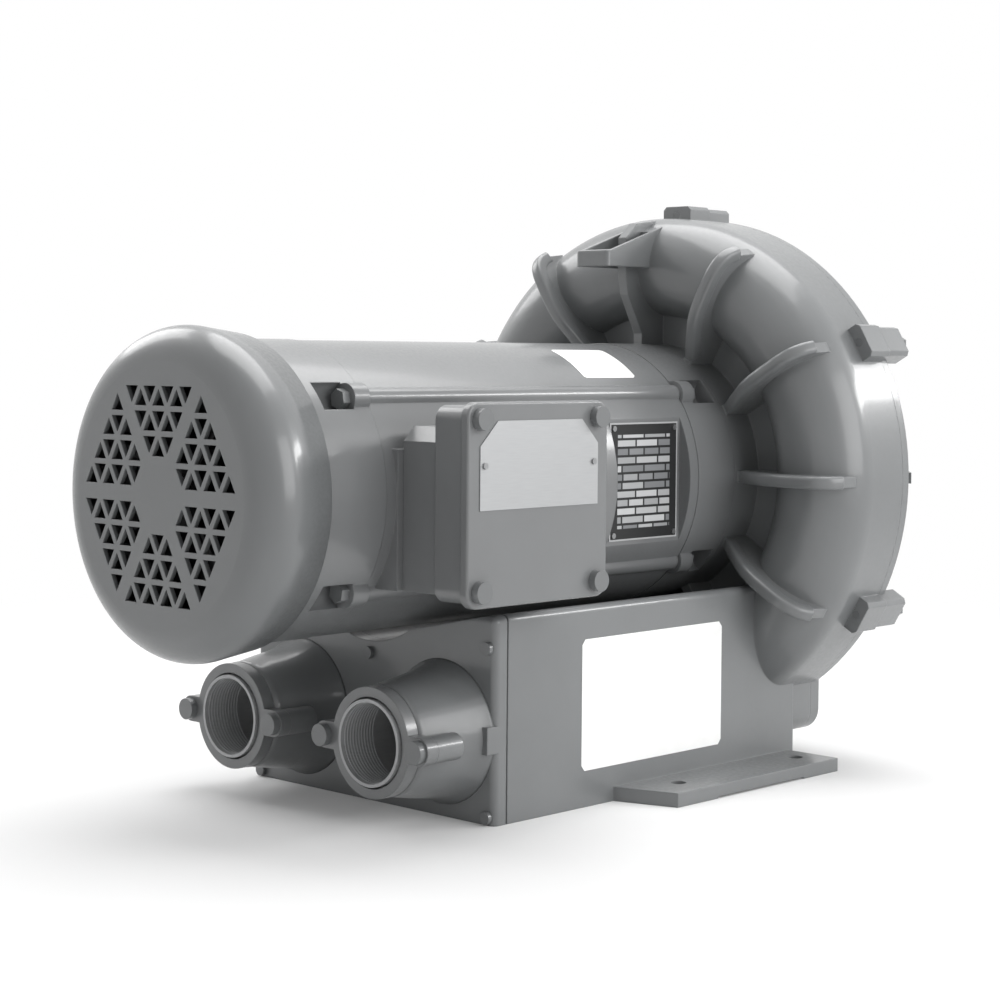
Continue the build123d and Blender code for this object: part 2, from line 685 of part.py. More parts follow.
def muffler_tube(x):
    """Pipe-threaded tube that runs into the plenum, collared in the neck and slotted behind it."""
    front = flange_y - TUBE_LIP
    collar_y = flange_y + FLANGE_THICKNESS
    tube = ring(PORT_BORE_R, tube_r, front, front + THREAD_LENGTH)
    tube += ring(PORT_BORE_R + THREAD_RELIEF, tube_r, front + THREAD_LENGTH, front + TUBE_LENGTH)
    tube += ring(tube_r - THREAD_RELIEF, NECK_R - NECK_WALL - FIT, collar_y, collar_y + NECK_STEP)
    slot = 0.7 * TUBE_LENGTH / TUBE_SLOT_ROWS / 2
    first = base_front_y + slot
    for row in range(TUBE_SLOT_ROWS):
        start = first + row * 2 * slot
        for index in range(TUBE_SLOT_COUNT):
            cut = block(0, tube_r + 1, start, start + slot, -TUBE_WALL, TUBE_WALL)
            tube -= about_shaft(cut, 45 + index * ROUND / TUBE_SLOT_COUNT)
    return Pos(x, 0, PORT_HEIGHT) * tube


def muffler_foam(side):
    """Foam block that fills one plenum round its tube."""
    start = base_front_y + 1
    body = plenums(0.5, start, start + FOAM_LENGTH)[0 if side < 0 else 1]
    return body - rod(side * PORT_SPACING / 2, PORT_HEIGHT, tube_r + 0.5, start, start + FOAM_LENGTH)


def motor_frame():
    """Cast motor frame with four rails, the rating plate's flat and the pad for the conduit box."""
    body = rod(0, 0, FRAME_R, frame_front_y, frame_rear_y)
    rail = rod(RAIL_CENTRE, 0, RAIL_R, frame_front_y, frame_rear_y)
    body += [about_shaft(rail, angle) for angle in rail_angles()]
    flat_rear = frame_rear_y - PLATE_FLAT_REAR
    body -= block(PLATE_FLAT, FRAME_R + 1, flat_rear - PLATE_FLAT_LENGTH, flat_rear,
                  -RATING_PLATE_HEIGHT / 1.8, RATING_PLATE_HEIGHT / 1.8)
    front = frame_front_y + BOX_FRONT_OFFSET
    body += side_prism(span(front - NECK_INSET / 2, front + BOX_LENGTH - NECK_INSET, BOX_LOW + NECK_INSET,
                            BOX_HIGH - PAD_TOP_DROP), 0, BOX_PAD_X)
    body -= rod(0, 0, FRAME_BORE_R, frame_front_y, frame_rear_y)
    middle = front + BOX_LENGTH / 2
    body -= side_prism(Pos(middle, 0) * Circle(WIRE_BORE_R), FRAME_BORE_R / 2, BOX_PAD_X)
    hole = rod(RAIL_CENTRE, 0, BRACKET_BOLT_R + FIT, frame_front_y, frame_front_y + BRACKET_BOLT_LENGTH)
    hole += rod(RAIL_CENTRE, 0, BRACKET_BOLT_R + FIT, frame_rear_y - BRACKET_BOLT_LENGTH, frame_rear_y)
    body -= [about_shaft(hole, angle) for angle in rail_angles()]
    return LIFT * body


def bracket_ears(body, seat_y, toward):
    """Add the four bolt ears to an end bracket, with the pocket that lets each bolt in."""
    ear_end = seat_y + toward * EAR_LENGTH
    pocket_end = ear_end + toward * POCKET_LENGTH
    ear = rod(RAIL_CENTRE, 0, EAR_R, min(seat_y, ear_end), max(seat_y, ear_end))
    pocket = rod(RAIL_CENTRE + 2, 0, EAR_R + 1, min(ear_end, pocket_end), max(ear_end, pocket_end))
    hole = rod(RAIL_CENTRE, 0, BRACKET_BOLT_R + FIT, min(seat_y, ear_end), max(seat_y, ear_end))
    for angle in rail_angles():
        body = body + about_shaft(ear, angle) - about_shaft(pocket + hole, angle)
    return body


def fan_end_bracket():
    """End bracket that carries the fan-end bearing."""
    outline = polygon(
        (FAN_SEAT_R + 2, bearing_fan_y() - BEARING_SHOULDER),
        (FAN_SEAT_R + 2, fan_bracket_y + COVER_LAP),
        (RAIL_CENTRE - EAR_R - BRACKET_WALL, fan_bracket_y + COVER_LAP),
        (RAIL_CENTRE - EAR_R - BRACKET_WALL / 2, fan_bracket_y - COVER_LAP),
        (COVER_RIM_R - FAN_COVER_WALL - FIT, fan_bracket_y - COVER_LAP),
        (COVER_RIM_R - FAN_COVER_WALL - FIT, fan_bracket_y),
        (BRACKET_R, fan_bracket_y),
        (BRACKET_R, frame_front_y),
        (FRAME_BORE_R - FIT, frame_front_y),
        (FRAME_BORE_R - FIT, frame_front_y + SPIGOT_LENGTH),
        (FRAME_BORE_R - BRACKET_WALL, frame_front_y + SPIGOT_LENGTH),
        (FRAME_BORE_R - BRACKET_WALL, fan_bracket_y + COVER_LAP + BRACKET_WALL),
        (FAN_BEARING_R + BRACKET_WALL, fan_bracket_y + COVER_LAP + BRACKET_WALL),
        (FAN_BEARING_R + BRACKET_WALL, bearing_fan_y() + FAN_BEARING_WIDTH),
        (FAN_BEARING_R + FIT, bearing_fan_y() + FAN_BEARING_WIDTH),
        (FAN_BEARING_R + FIT, bearing_fan_y() - SPRING_HEIGHT),
        (FAN_SEAT_R + BEARING_SHOULDER + 2, bearing_fan_y() - SPRING_HEIGHT),
        (FAN_SEAT_R + BEARING_SHOULDER + 2, bearing_fan_y() - BEARING_SHOULDER),
    )
    body = bracket_ears(turned(outline), frame_front_y, -1)
    seat = cover_screw_seat()
    tapped = rod(COVER_SCREW_CIRCLE, 0, COVER_SCREW_R + FIT, seat, seat + COVER_SCREW_LENGTH + 1)
    return LIFT * (body - [about_shaft(tapped, angle) for angle in rail_angles()])


def bearing_fan_y():
    """Front face of the fan-end bearing."""
    return fan_bracket_y + COVER_LAP + BRACKET_WALL


def bearing_drive_y():
    """Front face of the drive-end bearing."""
    return motor_face_y - BRACKET_WALL - DRIVE_BEARING_WIDTH


def drive_end_bracket():
    """Flanged end bracket that carries the drive-end bearing and fits the blower's hub."""
    outline = polygon(
        (DRIVE_END_R + 2, motor_face_y + REGISTER_LENGTH),
        (REGISTER_R, motor_face_y + REGISTER_LENGTH),
        (REGISTER_R, motor_face_y),
        (BRACKET_R, motor_face_y),
        (BRACKET_R, frame_rear_y),
        (FRAME_BORE_R - FIT, frame_rear_y),
        (FRAME_BORE_R - FIT, frame_rear_y - SPIGOT_LENGTH),
        (FRAME_BORE_R - BRACKET_WALL, frame_rear_y - SPIGOT_LENGTH),
        (FRAME_BORE_R - BRACKET_WALL, motor_face_y - BRACKET_WALL),
        (DRIVE_BEARING_R + BRACKET_WALL / 2, motor_face_y - BRACKET_WALL),
        (DRIVE_BEARING_R + BRACKET_WALL / 2, bearing_drive_y()),
        (DRIVE_BEARING_R + FIT, bearing_drive_y()),
        (DRIVE_BEARING_R + FIT, motor_face_y - BRACKET_WALL),
        (DRIVE_END_R + 2, motor_face_y - BRACKET_WALL),
    )
    body = bracket_ears(turned(outline), frame_rear_y, 1)
    hole = rod(MOUNT_BOLT_CIRCLE, 0, MOUNT_BOLT_R + FIT, motor_face_y - BRACKET_WALL, motor_face_y + REGISTER_LENGTH)
    return LIFT * (body - [about_shaft(hole, angle) for angle in mount_bolt_angles()])


def bracket_bolts(seat_y, toward):
    """Four bolts through a bracket's ears into the frame's rails."""
    head_seat = seat_y + toward * EAR_LENGTH
    tip = head_seat - toward * BRACKET_BOLT_LENGTH
    one = bolt(RAIL_CENTRE, 0, head_seat, tip, BRACKET_BOLT_R, BRACKET_HEAD_R, BRACKET_HEAD, toward)
    return LIFT * Compound([about_shaft(one, angle) for angle in rail_angles()])


def motor_mount_bolts():
    """Bolts from inside the housing's hub into the motor's face."""
    one = bolt(MOUNT_BOLT_CIRCLE, 0, hub_floor_y, motor_face_y - BRACKET_WALL + 2, MOUNT_BOLT_R,
               1.6 * MOUNT_BOLT_R, MOUNT_BOLT_R, 1)
    return LIFT * Compound([about_shaft(one, angle) for angle in mount_bolt_angles()])


def stator_middle_y():
    """Middle of the stator and of the rotor's core."""
    return (frame_front_y + frame_rear_y) / 2


def slots(inset):
    """Winding slots round the stator's bore, as one sketch, smaller by an inset."""
    near = STATOR_BORE_R + TOOTH_TIP + inset
    far = STATOR_BORE_R + TOOTH_TIP + SLOT_DEPTH - inset
    slot = span(near, far, -SLOT_WIDTH / 2 + inset, SLOT_WIDTH / 2 - inset)
    return [Rot(0, 0, index * ROUND / SLOT_COUNT) * slot for index in range(SLOT_COUNT)]


def stator_core():
    """Laminated stator ring with its winding slots."""
    section = Circle(FRAME_BORE_R - FIT) - Circle(STATOR_BORE_R) - slots(0)
    middle = stator_middle_y()
    return LIFT * prism(section, middle - STATOR_LENGTH / 2, middle + STATOR_LENGTH / 2)


def stator_windings():
    """Copper winding: bars in the slots joined by the end turns."""
    middle = stator_middle_y()
    half = STATOR_LENGTH / 2
    bars = prism(Sketch() + slots(0.4), middle - half - 1, middle + half + 1)
    inner = STATOR_BORE_R + TOOTH_TIP
    outer = inner + SLOT_DEPTH
    turn = span(inner, outer, half + 0.4, half + END_TURN)
    turn = fillet([v for v in turn.vertices() if v.Y > half + 1], SLOT_DEPTH / 3)
    rings = turned(Pos(0, middle) * turn) + turned(Pos(0, middle) * mirror(turn, Plane.XZ))
    return LIFT * (bars + rings)


def rotor_core():
    """Rotor laminations with the cast end rings, on the shaft."""
    middle = stator_middle_y()
    half = STATOR_LENGTH / 2
    rotor_r = STATOR_BORE_R - AIR_GAP
    core = ring(SHAFT_R + FIT, rotor_r, middle - half, middle + half)
    core += ring(rotor_r - END_RING, rotor_r - 2, middle - half - END_RING, middle + half + END_RING)
    return LIFT * core


def motor_shaft():
    """Stepped shaft from the cooling fan to the impeller."""
    fan_seat = bearing_fan_y() - 1
    fan_tip = fan_bracket_y - FAN_GAP - FAN_WIDTH - 2
    drive_seat = bearing_drive_y()
    outline = polygon(
        (0, fan_tip), (FAN_SHAFT_R, fan_tip), (FAN_SHAFT_R, fan_seat), (FAN_SEAT_R, fan_seat),
        (FAN_SEAT_R, fan_seat + FAN_BEARING_WIDTH + 1), (SHAFT_R, fan_seat + FAN_BEARING_WIDTH + 1),
        (SHAFT_R, drive_seat), (DRIVE_SEAT_R, drive_seat),
        (DRIVE_SEAT_R, drive_seat + DRIVE_BEARING_WIDTH), (DRIVE_END_R, drive_seat + DRIVE_BEARING_WIDTH),
        (DRIVE_END_R, shaft_end_y), (0, shaft_end_y),
    )
    body = turned(outline) - keyway(shaft_end_y - KEY_LENGTH - FIT, shaft_end_y + 1, FIT)
    return LIFT * (body - rod(0, 0, 5 + FIT, shaft_end_y - 26, shaft_end_y))


def race(inner_r, outer_r, y_low, width, ball_r, balls_at):
    """Bearing ring with the groove that its balls run in."""
    groove = Pos(balls_at, y_low + width / 2) * Circle(ball_r + BEARING_FIT)
    return LIFT * turned(span(inner_r, outer_r, y_low, y_low + width) - groove)


def bearing_rings(shaft_r, outer_r, y_low, width, ball_r):
    """Inner and outer ring of one ball bearing, a third of the height each."""
    pitch = (shaft_r + outer_r) / 2
    shoulder = 0.6 * ball_r
    inner = race(shaft_r + FIT, pitch - shoulder, y_low, width, ball_r, pitch)
    outer = race(pitch + shoulder, outer_r, y_low, width, ball_r, pitch)
    return inner, outer


def bearing_balls(shaft_r, outer_r, y_low, width, ball_r, count):
    """Loose balls of one bearing."""
    pitch = (shaft_r + outer_r) / 2
    ball = Pos(pitch, y_low + width / 2, 0) * Sphere(ball_r)
    return LIFT * Compound([about_shaft(ball, index * ROUND / count) for index in range(count)])


def bearing_cage(shaft_r, outer_r, y_low, width, ball_r, count):
    """Ring between the races with a pocket for each ball."""
    pitch = (shaft_r + outer_r) / 2
    half = 0.4 * ball_r
    middle = y_low + width / 2
    body = ring(pitch - half, pitch + half, middle - 1.2 * ball_r, middle + 1.2 * ball_r)
    pocket = Pos(pitch, middle, 0) * Rot(0, 90, 0) * Cylinder(ball_r + 2 * FIT, 3 * half)
    return LIFT * (body - [about_shaft(pocket, index * ROUND / count) for index in range(count)])


def preload_spring():
    """Flat spring ring that loads the fan-end bearing."""
    front = bearing_fan_y() - SPRING_HEIGHT
    return LIFT * ring(FAN_BEARING_R - BEARING_SHOULDER, FAN_BEARING_R - FIT, front, front + SPRING_HEIGHT)


def cooling_fan():
    """Radial fan: a hub and back plate with straight blades."""
    rear = fan_bracket_y - FAN_GAP
    front = rear - FAN_WIDTH
    body = ring(FAN_SHAFT_R + FIT, FAN_HUB_R, front, rear)
    body += ring(FAN_HUB_R, FAN_R, rear - FAN_PLATE, rear)
    blade = block(FAN_HUB_R - 1, FAN_R, front, rear - FAN_PLATE / 2, -FAN_BLADE / 2, FAN_BLADE / 2)
    body += [about_shaft(blade, index * ROUND / FAN_BLADES) for index in range(FAN_BLADES)]
    return LIFT * body


def fan_outline(inset):
    """Half section of the fan cover, from its rim over the rounded edge to the middle of its face."""
    rim = (COVER_RIM_R - inset, fan_bracket_y)
    wide = (COVER_MAX_R - inset, fan_bracket_y - COVER_TAPER)
    face = fan_face_y + inset
    edge = COVER_MAX_R - COVER_EDGE_R
    bend = COVER_EDGE_R * sin(radians(45))
    corner = ThreePointArc(wide, (edge + bend, face + COVER_EDGE_R - bend), (edge, face))
    lines = Polyline((edge, face), (0, face), (0, fan_bracket_y), rim, wide)
    return make_face(corner.edges() + lines.edges())


def grille_holes():
    """Triangular holes of the hexagonal grille, as one sketch."""
    side = (GRILLE_R - GRILLE_SPOKE) / GRILLE_ROWS
    height = side * sqrt(3) / 2
    hole_r = (side - GRILLE_WEB * sqrt(3)) / sqrt(3)
    holes = []
    for sector in range(6):
        for row in range(1, GRILLE_ROWS):
            low = GRILLE_SPOKE + row * height
            for index in range(2 * row + 1):
                upward = index % 2 == 0
                across = (index - row) * side / 2
                level = low + (2 / 3 if upward else 1 / 3) * height
                turn = -90 if upward else 90
                triangle = Pos(across, level) * Rot(0, 0, turn) * RegularPolygon(hole_r, 3)
                holes.append(Rot(0, 0, 60 * sector) * triangle)
    return holes


def fan_cover():
    """Cast fan cover with its grille, lapped over the fan-end bracket and screwed at four ears."""
    whole = turned(fan_outline(0))
    body = whole - turned(fan_outline(FAN_COVER_WALL))
    seat = cover_screw_seat()
    front = seat - WELL_DEPTH
    shell = rod(WELL_CENTRE, 0, WELL_R + FAN_COVER_WALL, front - FAN_COVER_WALL, seat + COVER_EAR) & whole
    body += [about_shaft(shell, angle) for angle in rail_angles()]
    well = rod(WELL_CENTRE, 0, WELL_R, front, seat)
    hole = rod(COVER_SCREW_CIRCLE, 0, COVER_SCREW_R + FIT, seat, seat + COVER_EAR)
    body -= [about_shaft(well + hole, angle) for angle in rail_angles()]
    return LIFT * (body - prism(Sketch() + grille_holes(), fan_face_y, fan_face_y + FAN_COVER_WALL))


def cover_screw_seat():
    """Station of the faces that the fan cover's screw heads sit on."""
    return fan_bracket_y - COVER_LAP - COVER_EAR


def fan_cover_screws():
    """Screws through the fan cover's ears into the bracket."""
    seat = cover_screw_seat()
    one = rod(COVER_SCREW_CIRCLE, 0, COVER_SCREW_R, seat, seat + COVER_SCREW_LENGTH)
    one += rod(COVER_SCREW_CIRCLE, 0, COVER_SCREW_HEAD_R, seat - COVER_SCREW_HEAD, seat)
    return LIFT * Compound([about_shaft(one, angle) for angle in rail_angles()])


def box_stations():
    """Front and rear end of the conduit box along the shaft."""
    front = frame_front_y + BOX_FRONT_OFFSET
    return front, front + BOX_LENGTH


def box_bolt_places():
    """Cover bolts of the conduit box, as (y, z)."""
    front, rear = box_stations()
    low = BOX_LOW + BOX_BOSS_INSET
    high = BOX_HIGH - BOX_BOSS_INSET
    return [(y, z) for y in (front + BOX_BOSS_INSET, rear - BOX_BOSS_INSET) for z in (low, high)]


def box_rectangle(inset, corner):
    """Rounded outline of the conduit box, smaller by an inset."""
    front, rear = box_stations()
    shape = span(front + inset, rear - inset, BOX_LOW + inset, BOX_HIGH - inset)
    return fillet(shape.vertices(), corner)


def neck_outline(inset):
    """Outline of the conduit box's neck with its sloped top corner."""
    front, rear = box_stations()
    low = BOX_LOW + NECK_INSET + inset
    high = BOX_HIGH - NECK_TOP_DROP - inset
    shape = span(front + NECK_INSET / 2 + inset, rear - NECK_INSET - inset, low, high)
    return chamfer([v for v in shape.vertices() if v.Y > high - 1], NECK_CHAMFER)


def conduit_box():
    """Cast conduit box: a neck on the frame's pad that opens into the box with four bolt bosses."""
    body = side_prism(neck_outline(0), BOX_PAD_X, BOX_NECK_X)
    body += side_prism(box_rectangle(0, BOX_CORNER), BOX_NECK_X, BOX_FACE_X)
    inside = side_prism(box_rectangle(BOX_WALL, BOX_CORNER / 2), BOX_NECK_X + BOX_WALL, BOX_FACE_X)
    posts = [side_prism(Pos(y, z) * Circle(BOX_BOSS_R), BOX_NECK_X, BOX_FACE_X) for y, z in box_bolt_places()]
    inside -= posts
    inside += side_prism(neck_outline(BOX_WALL), BOX_PAD_X + BOX_WALL, BOX_NECK_X + BOX_WALL)
    front, rear = box_stations()
    inside += side_prism(Pos((front + rear) / 2, 0) * Circle(WIRE_BORE_R), BOX_PAD_X, BOX_NECK_X)
    body -= inside
    body -= [side_prism(Pos(y, z) * Circle(BOX_BOLT_R + FIT), BOX_NECK_X + BOX_WALL, BOX_FACE_X)
             for y, z in box_bolt_places()]
    entry = Pos((BOX_NECK_X + BOX_FACE_X) / 2, (front + rear) / 2, BOX_LOW)
    hub_r = (BOX_FACE_X - BOX_NECK_X) / 2
    hub = entry * extrude(Circle(hub_r), amount=CONDUIT_HUB)
    return LIFT * (body + hub - entry * extrude(Circle(CONDUIT_BORE_R), amount=CONDUIT_HUB))


def conduit_box_cover():
    """Flat cast lid of the conduit box."""
    plate = side_prism(box_rectangle(-BOX_COVER_LAP, BOX_CORNER), BOX_FACE_X, BOX_FACE_X + BOX_COVER)
    edge = plate.faces().sort_by(Axis.X)[-1].edges()
    plate = fillet(edge, 2)
    holes = [side_prism(Pos(y, z) * Circle(BOX_BOLT_R + FIT), BOX_FACE_X, BOX_FACE_X + BOX_COVER)
             for y, z in box_bolt_places()]
    return LIFT * (plate - holes)


def conduit_cover_bolts():
    """Socket-head bolts at the lid's corners."""
    face = BOX_FACE_X + BOX_COVER
    bolts = []
    for y, z in box_bolt_places():
        shank = side_prism(Pos(y, z) * Circle(BOX_BOLT_R), BOX_NECK_X + BOX_WALL + 1, face)
        bolts.append(shank + side_prism(Pos(y, z) * Circle(BOX_HEAD_R), face, face + BOX_HEAD))
    return LIFT * Compound(bolts)


def data_plate_centre():
    """Middle of the plate on the conduit box's lid, as (y, z)."""
    front, rear = box_stations()
    return (front + rear) / 2, BOX_HIGH - DATA_PLATE_HEIGHT / 2 - NECK_CHAMFER


def conduit_plate():
    """Thin bare plate on the lid with clipped upper corners."""
    y, z = data_plate_centre()
    shape = Rectangle(DATA_PLATE_LENGTH, DATA_PLATE_HEIGHT)
    shape = chamfer([v for v in shape.vertices() if v.Y > 0], DATA_PLATE_CLIP)
    face = BOX_FACE_X + BOX_COVER
    return LIFT * side_prism(Pos(y, z) * shape, face, face + DATA_PLATE)


def plate_pins(y, z, reach, face, levels):
    """Small round-headed pins at a plate's ends."""
    pins = [side_prism(Pos(y + side * reach, z + level) * Circle(RIVET_R), face, face + RIVET_HEAD)
            for side in (-1, 1) for level in levels]
    return LIFT * Compound(pins)


def conduit_plate_rivets():
    """Two rivets in the plate on the lid."""
    y, z = data_plate_centre()
    face = BOX_FACE_X + BOX_COVER + DATA_PLATE
    return plate_pins(y, z, DATA_PLATE_LENGTH / 2 - 2 * RIVET_R, face, [0])


def rating_plate_centre():
    """Middle of the rating plate along the shaft."""
    return frame_rear_y - PLATE_FLAT_REAR - PLATE_FLAT_LENGTH / 2


def rating_plate():
    """Bare rating plate on the frame's flat."""
    shape = Pos(rating_plate_centre(), 0) * Rectangle(RATING_PLATE_LENGTH, RATING_PLATE_HEIGHT)
    return LIFT * side_prism(shape, PLATE_FLAT, PLATE_FLAT + DATA_PLATE)


def rating_plate_pins():
    """Drive pins at the rating plate's corners."""
    reach = RATING_PLATE_LENGTH / 2 - 2 * RIVET_R
    level = RATING_PLATE_HEIGHT / 2 - 2 * RIVET_R
    return plate_pins(rating_plate_centre(), 0, reach, PLATE_FLAT + DATA_PLATE, [-level, level])


def write_parts():
    """Write every piece to its own file."""
    os.makedirs("parts", exist_ok=True)
    drive = (DRIVE_SEAT_R, DRIVE_BEARING_R, bearing_drive_y(), DRIVE_BEARING_WIDTH, DRIVE_BALL_R)
    fan = (FAN_SEAT_R, FAN_BEARING_R, bearing_fan_y(), FAN_BEARING_WIDTH, FAN_BALL_R)
    drive_inner, drive_outer = bearing_rings(*drive)
    fan_inner, fan_outer = bearing_rings(*fan)
    inlet_x = PORT_SPACING / 2
    pieces = {
        "blower_housing": blower_housing(),
        "blower_cover": blower_cover(),
        "cover_bolts": cover_bolts(),
        "impeller": impeller(),
        "impeller_key": impeller_key(),
        "impeller_shims": impeller_shims(),
        "impeller_washer": impeller_washer(),
        "impeller_bolt": impeller_bolt(),
        "shaft_seal": shaft_seal(),
        "port_manifold": port_manifold(),
        "manifold_gasket": manifold_gasket(),
        "manifold_screws": manifold_screws(),
        "inlet_port_flange": port_flange(inlet_x),
        "outlet_port_flange": port_flange(-inlet_x),
        "port_flange_bolts": port_flange_bolts(),
        "inlet_muffler_tube": muffler_tube(inlet_x),
        "outlet_muffler_tube": muffler_tube(-inlet_x),
        "inlet_muffler_foam": muffler_foam(1),
        "outlet_muffler_foam": muffler_foam(-1),
        "motor_frame": motor_frame(),
        "fan_end_bracket": fan_end_bracket(),
        "drive_end_bracket": drive_end_bracket(),
        "fan_bracket_bolts": bracket_bolts(frame_front_y, -1),
        "drive_bracket_bolts": bracket_bolts(frame_rear_y, 1),
        "motor_mount_bolts": motor_mount_bolts(),
        "stator_core": stator_core(),
        "stator_windings": stator_windings(),
        "rotor_core": rotor_core(),
        "motor_shaft": motor_shaft(),
        "drive_bearing_inner_ring": drive_inner,
        "drive_bearing_outer_ring": drive_outer,
        "drive_bearing_balls": bearing_balls(*drive, DRIVE_BALLS),
        "drive_bearing_cage": bearing_cage(*drive, DRIVE_BALLS),
        "fan_bearing_inner_ring": fan_inner,
        "fan_bearing_outer_ring": fan_outer,
        "fan_bearing_balls": bearing_balls(*fan, FAN_BALLS),
        "fan_bearing_cage": bearing_cage(*fan, FAN_BALLS),
        "preload_spring": preload_spring(),
        "cooling_fan": cooling_fan(),
        "fan_cover": fan_cover(),
        "fan_cover_screws": fan_cover_screws(),
        "conduit_box": conduit_box(),
        "conduit_box_cover": conduit_box_cover(),
        "conduit_cover_bolts": conduit_cover_bolts(),
        "conduit_plate": conduit_plate(),
        "conduit_plate_rivets": conduit_plate_rivets(),
        "rating_plate": rating_plate(),
        "rating_plate_pins": rating_plate_pins(),
    }
    for name, piece in pieces.items():
        export_step(piece, f"parts/{name}.step")


write_parts()
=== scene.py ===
import bpy
from math import cos, pi, radians, sin
from mathutils import Matrix, Vector


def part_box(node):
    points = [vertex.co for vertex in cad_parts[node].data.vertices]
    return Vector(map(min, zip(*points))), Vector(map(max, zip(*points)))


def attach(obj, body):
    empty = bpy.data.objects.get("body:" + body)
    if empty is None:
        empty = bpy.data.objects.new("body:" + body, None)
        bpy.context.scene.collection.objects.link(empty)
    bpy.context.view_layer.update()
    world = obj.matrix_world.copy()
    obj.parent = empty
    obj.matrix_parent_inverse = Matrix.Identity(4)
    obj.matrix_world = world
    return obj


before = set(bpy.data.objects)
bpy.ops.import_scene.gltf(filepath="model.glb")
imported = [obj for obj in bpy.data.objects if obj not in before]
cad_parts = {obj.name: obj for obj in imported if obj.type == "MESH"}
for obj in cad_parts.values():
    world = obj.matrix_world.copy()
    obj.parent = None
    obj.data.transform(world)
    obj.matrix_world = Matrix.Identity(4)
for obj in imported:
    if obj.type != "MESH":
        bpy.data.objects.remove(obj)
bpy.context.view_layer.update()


# Channel halves, muffler base and port manifold. They are sand-cast aluminium, bolted together, and
# sprayed all over afterwards with one coat of grey machinery enamel, which also covers the gasket's
# edge. The sand's grain shows through the paint and the corners are left soft.

def linear(code):
    """Colour written as an sRGB hex value, turned to linear."""
    parts = [int(code[i:i + 2], 16) / 255 for i in (1, 3, 5)]
    return [c / 12.92 if c <= 0.04045 else ((c + 0.055) / 1.055) ** 2.4 for c in parts] + [1.0]


def add_node(tree, kind, settings=None, inputs=None, links=None):
    """Add one node to a tree, with its settings, socket values and the sockets linked into it."""
    node = tree.nodes.new(kind)
    for name, value in (settings or {}).items():
        setattr(node, name, value)
    for key, value in (inputs or {}).items():
        node.inputs[key].default_value = value
    for key, source in (links or {}).items():
        tree.links.new(source, node.inputs[key])
    return node


def new_surface(name, **principled):
    """Material with an object-space coordinate and its shader; a pattern is built on these."""
    made = bpy.data.materials.new(name)
    made.use_nodes = True
    tree = made.node_tree
    tree.nodes.clear()
    place = add_node(tree, "ShaderNodeTexCoord").outputs["Object"]
    shader = add_node(tree, "ShaderNodeBsdfPrincipled", inputs=principled)
    add_node(tree, "ShaderNodeOutputMaterial", links={"Surface": shader.outputs["BSDF"]})
    return made, tree, place, shader


def grey_enamel(name, dark, light, sand, sand_height, gloss, edge):
    """Sprayed grey enamel: orange peel over the grain of the casting; sizes in millimetres."""
    cloud_size, peel_size, peel_height = 90, 5, 0.012
    made, tree, place, shader = new_surface(name, **{"Coat Weight": 0.45, "Coat Roughness": 0.14})
    clouds = add_node(tree, "ShaderNodeTexNoise",
                      inputs={"Scale": 1000 / cloud_size, "Detail": 3.0}, links={"Vector": place})
    peel = add_node(tree, "ShaderNodeTexNoise", inputs={"Scale": 1000 / peel_size, "Detail": 1.0},
                    links={"Vector": place})
    grain = add_node(tree, "ShaderNodeTexNoise", inputs={"Scale": 1000 / sand, "Detail": 2.0},
                     links={"Vector": place})
    colour = add_node(tree, "ShaderNodeMix", {"data_type": "RGBA"},
                      {6: linear(dark), 7: linear(light)}, {0: clouds.outputs["Fac"]})
    rough = add_node(tree, "ShaderNodeMapRange",
                     inputs={"From Min": 0.3, "From Max": 0.7,
                             "To Min": gloss - 0.04, "To Max": gloss + 0.06},
                     links={"Value": grain.outputs["Fac"]})
    rounded = add_node(tree, "ShaderNodeBevel", {"samples": 4}, {"Radius": edge / 1000})
    sandy = add_node(tree, "ShaderNodeBump", inputs={"Distance": sand_height / 1000},
                     links={"Height": grain.outputs["Fac"], "Normal": rounded.outputs["Normal"]})
    peeled = add_node(tree, "ShaderNodeBump", inputs={"Distance": peel_height / 1000},
                      links={"Height": peel.outputs["Fac"], "Normal": sandy.outputs["Normal"]})
    tree.links.new(colour.outputs[2], shader.inputs["Base Color"])
    tree.links.new(rough.outputs["Result"], shader.inputs["Roughness"])
    tree.links.new(peeled.outputs["Normal"], shader.inputs["Normal"])
    return made


# Grey enamel over a sand-cast skin: semi-gloss, with the sand's grain and soft rounded corners.
enamel_on_sand_casting = grey_enamel("grey_enamel_on_sand_casting", "#686a6b", "#767879",
                                     sand=4.0, sand_height=0.035, gloss=0.36, edge=2.0)


def finish_nodes(material, slot, *names):
    """Give CAD pieces their finish; the slot argument, the record's slot that it stands for, is not
    used.
    """
    for name in names:
        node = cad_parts[name]
        node.data.materials.clear()
        node.data.materials.append(material)


finish_nodes(enamel_on_sand_casting, "painted_casting", "blower_housing", "blower_cover",
             "port_manifold")
finish_nodes(enamel_on_sand_casting, "gasket_sheet", "manifold_gasket")


# Rounded crests of the open ribs. They are cast with the housing half and stiffen it. The pattern's
# round edges are shown here by a soft bead laid over each rib's plain crest, except under the
# lifting loop, where the opening stays clear.

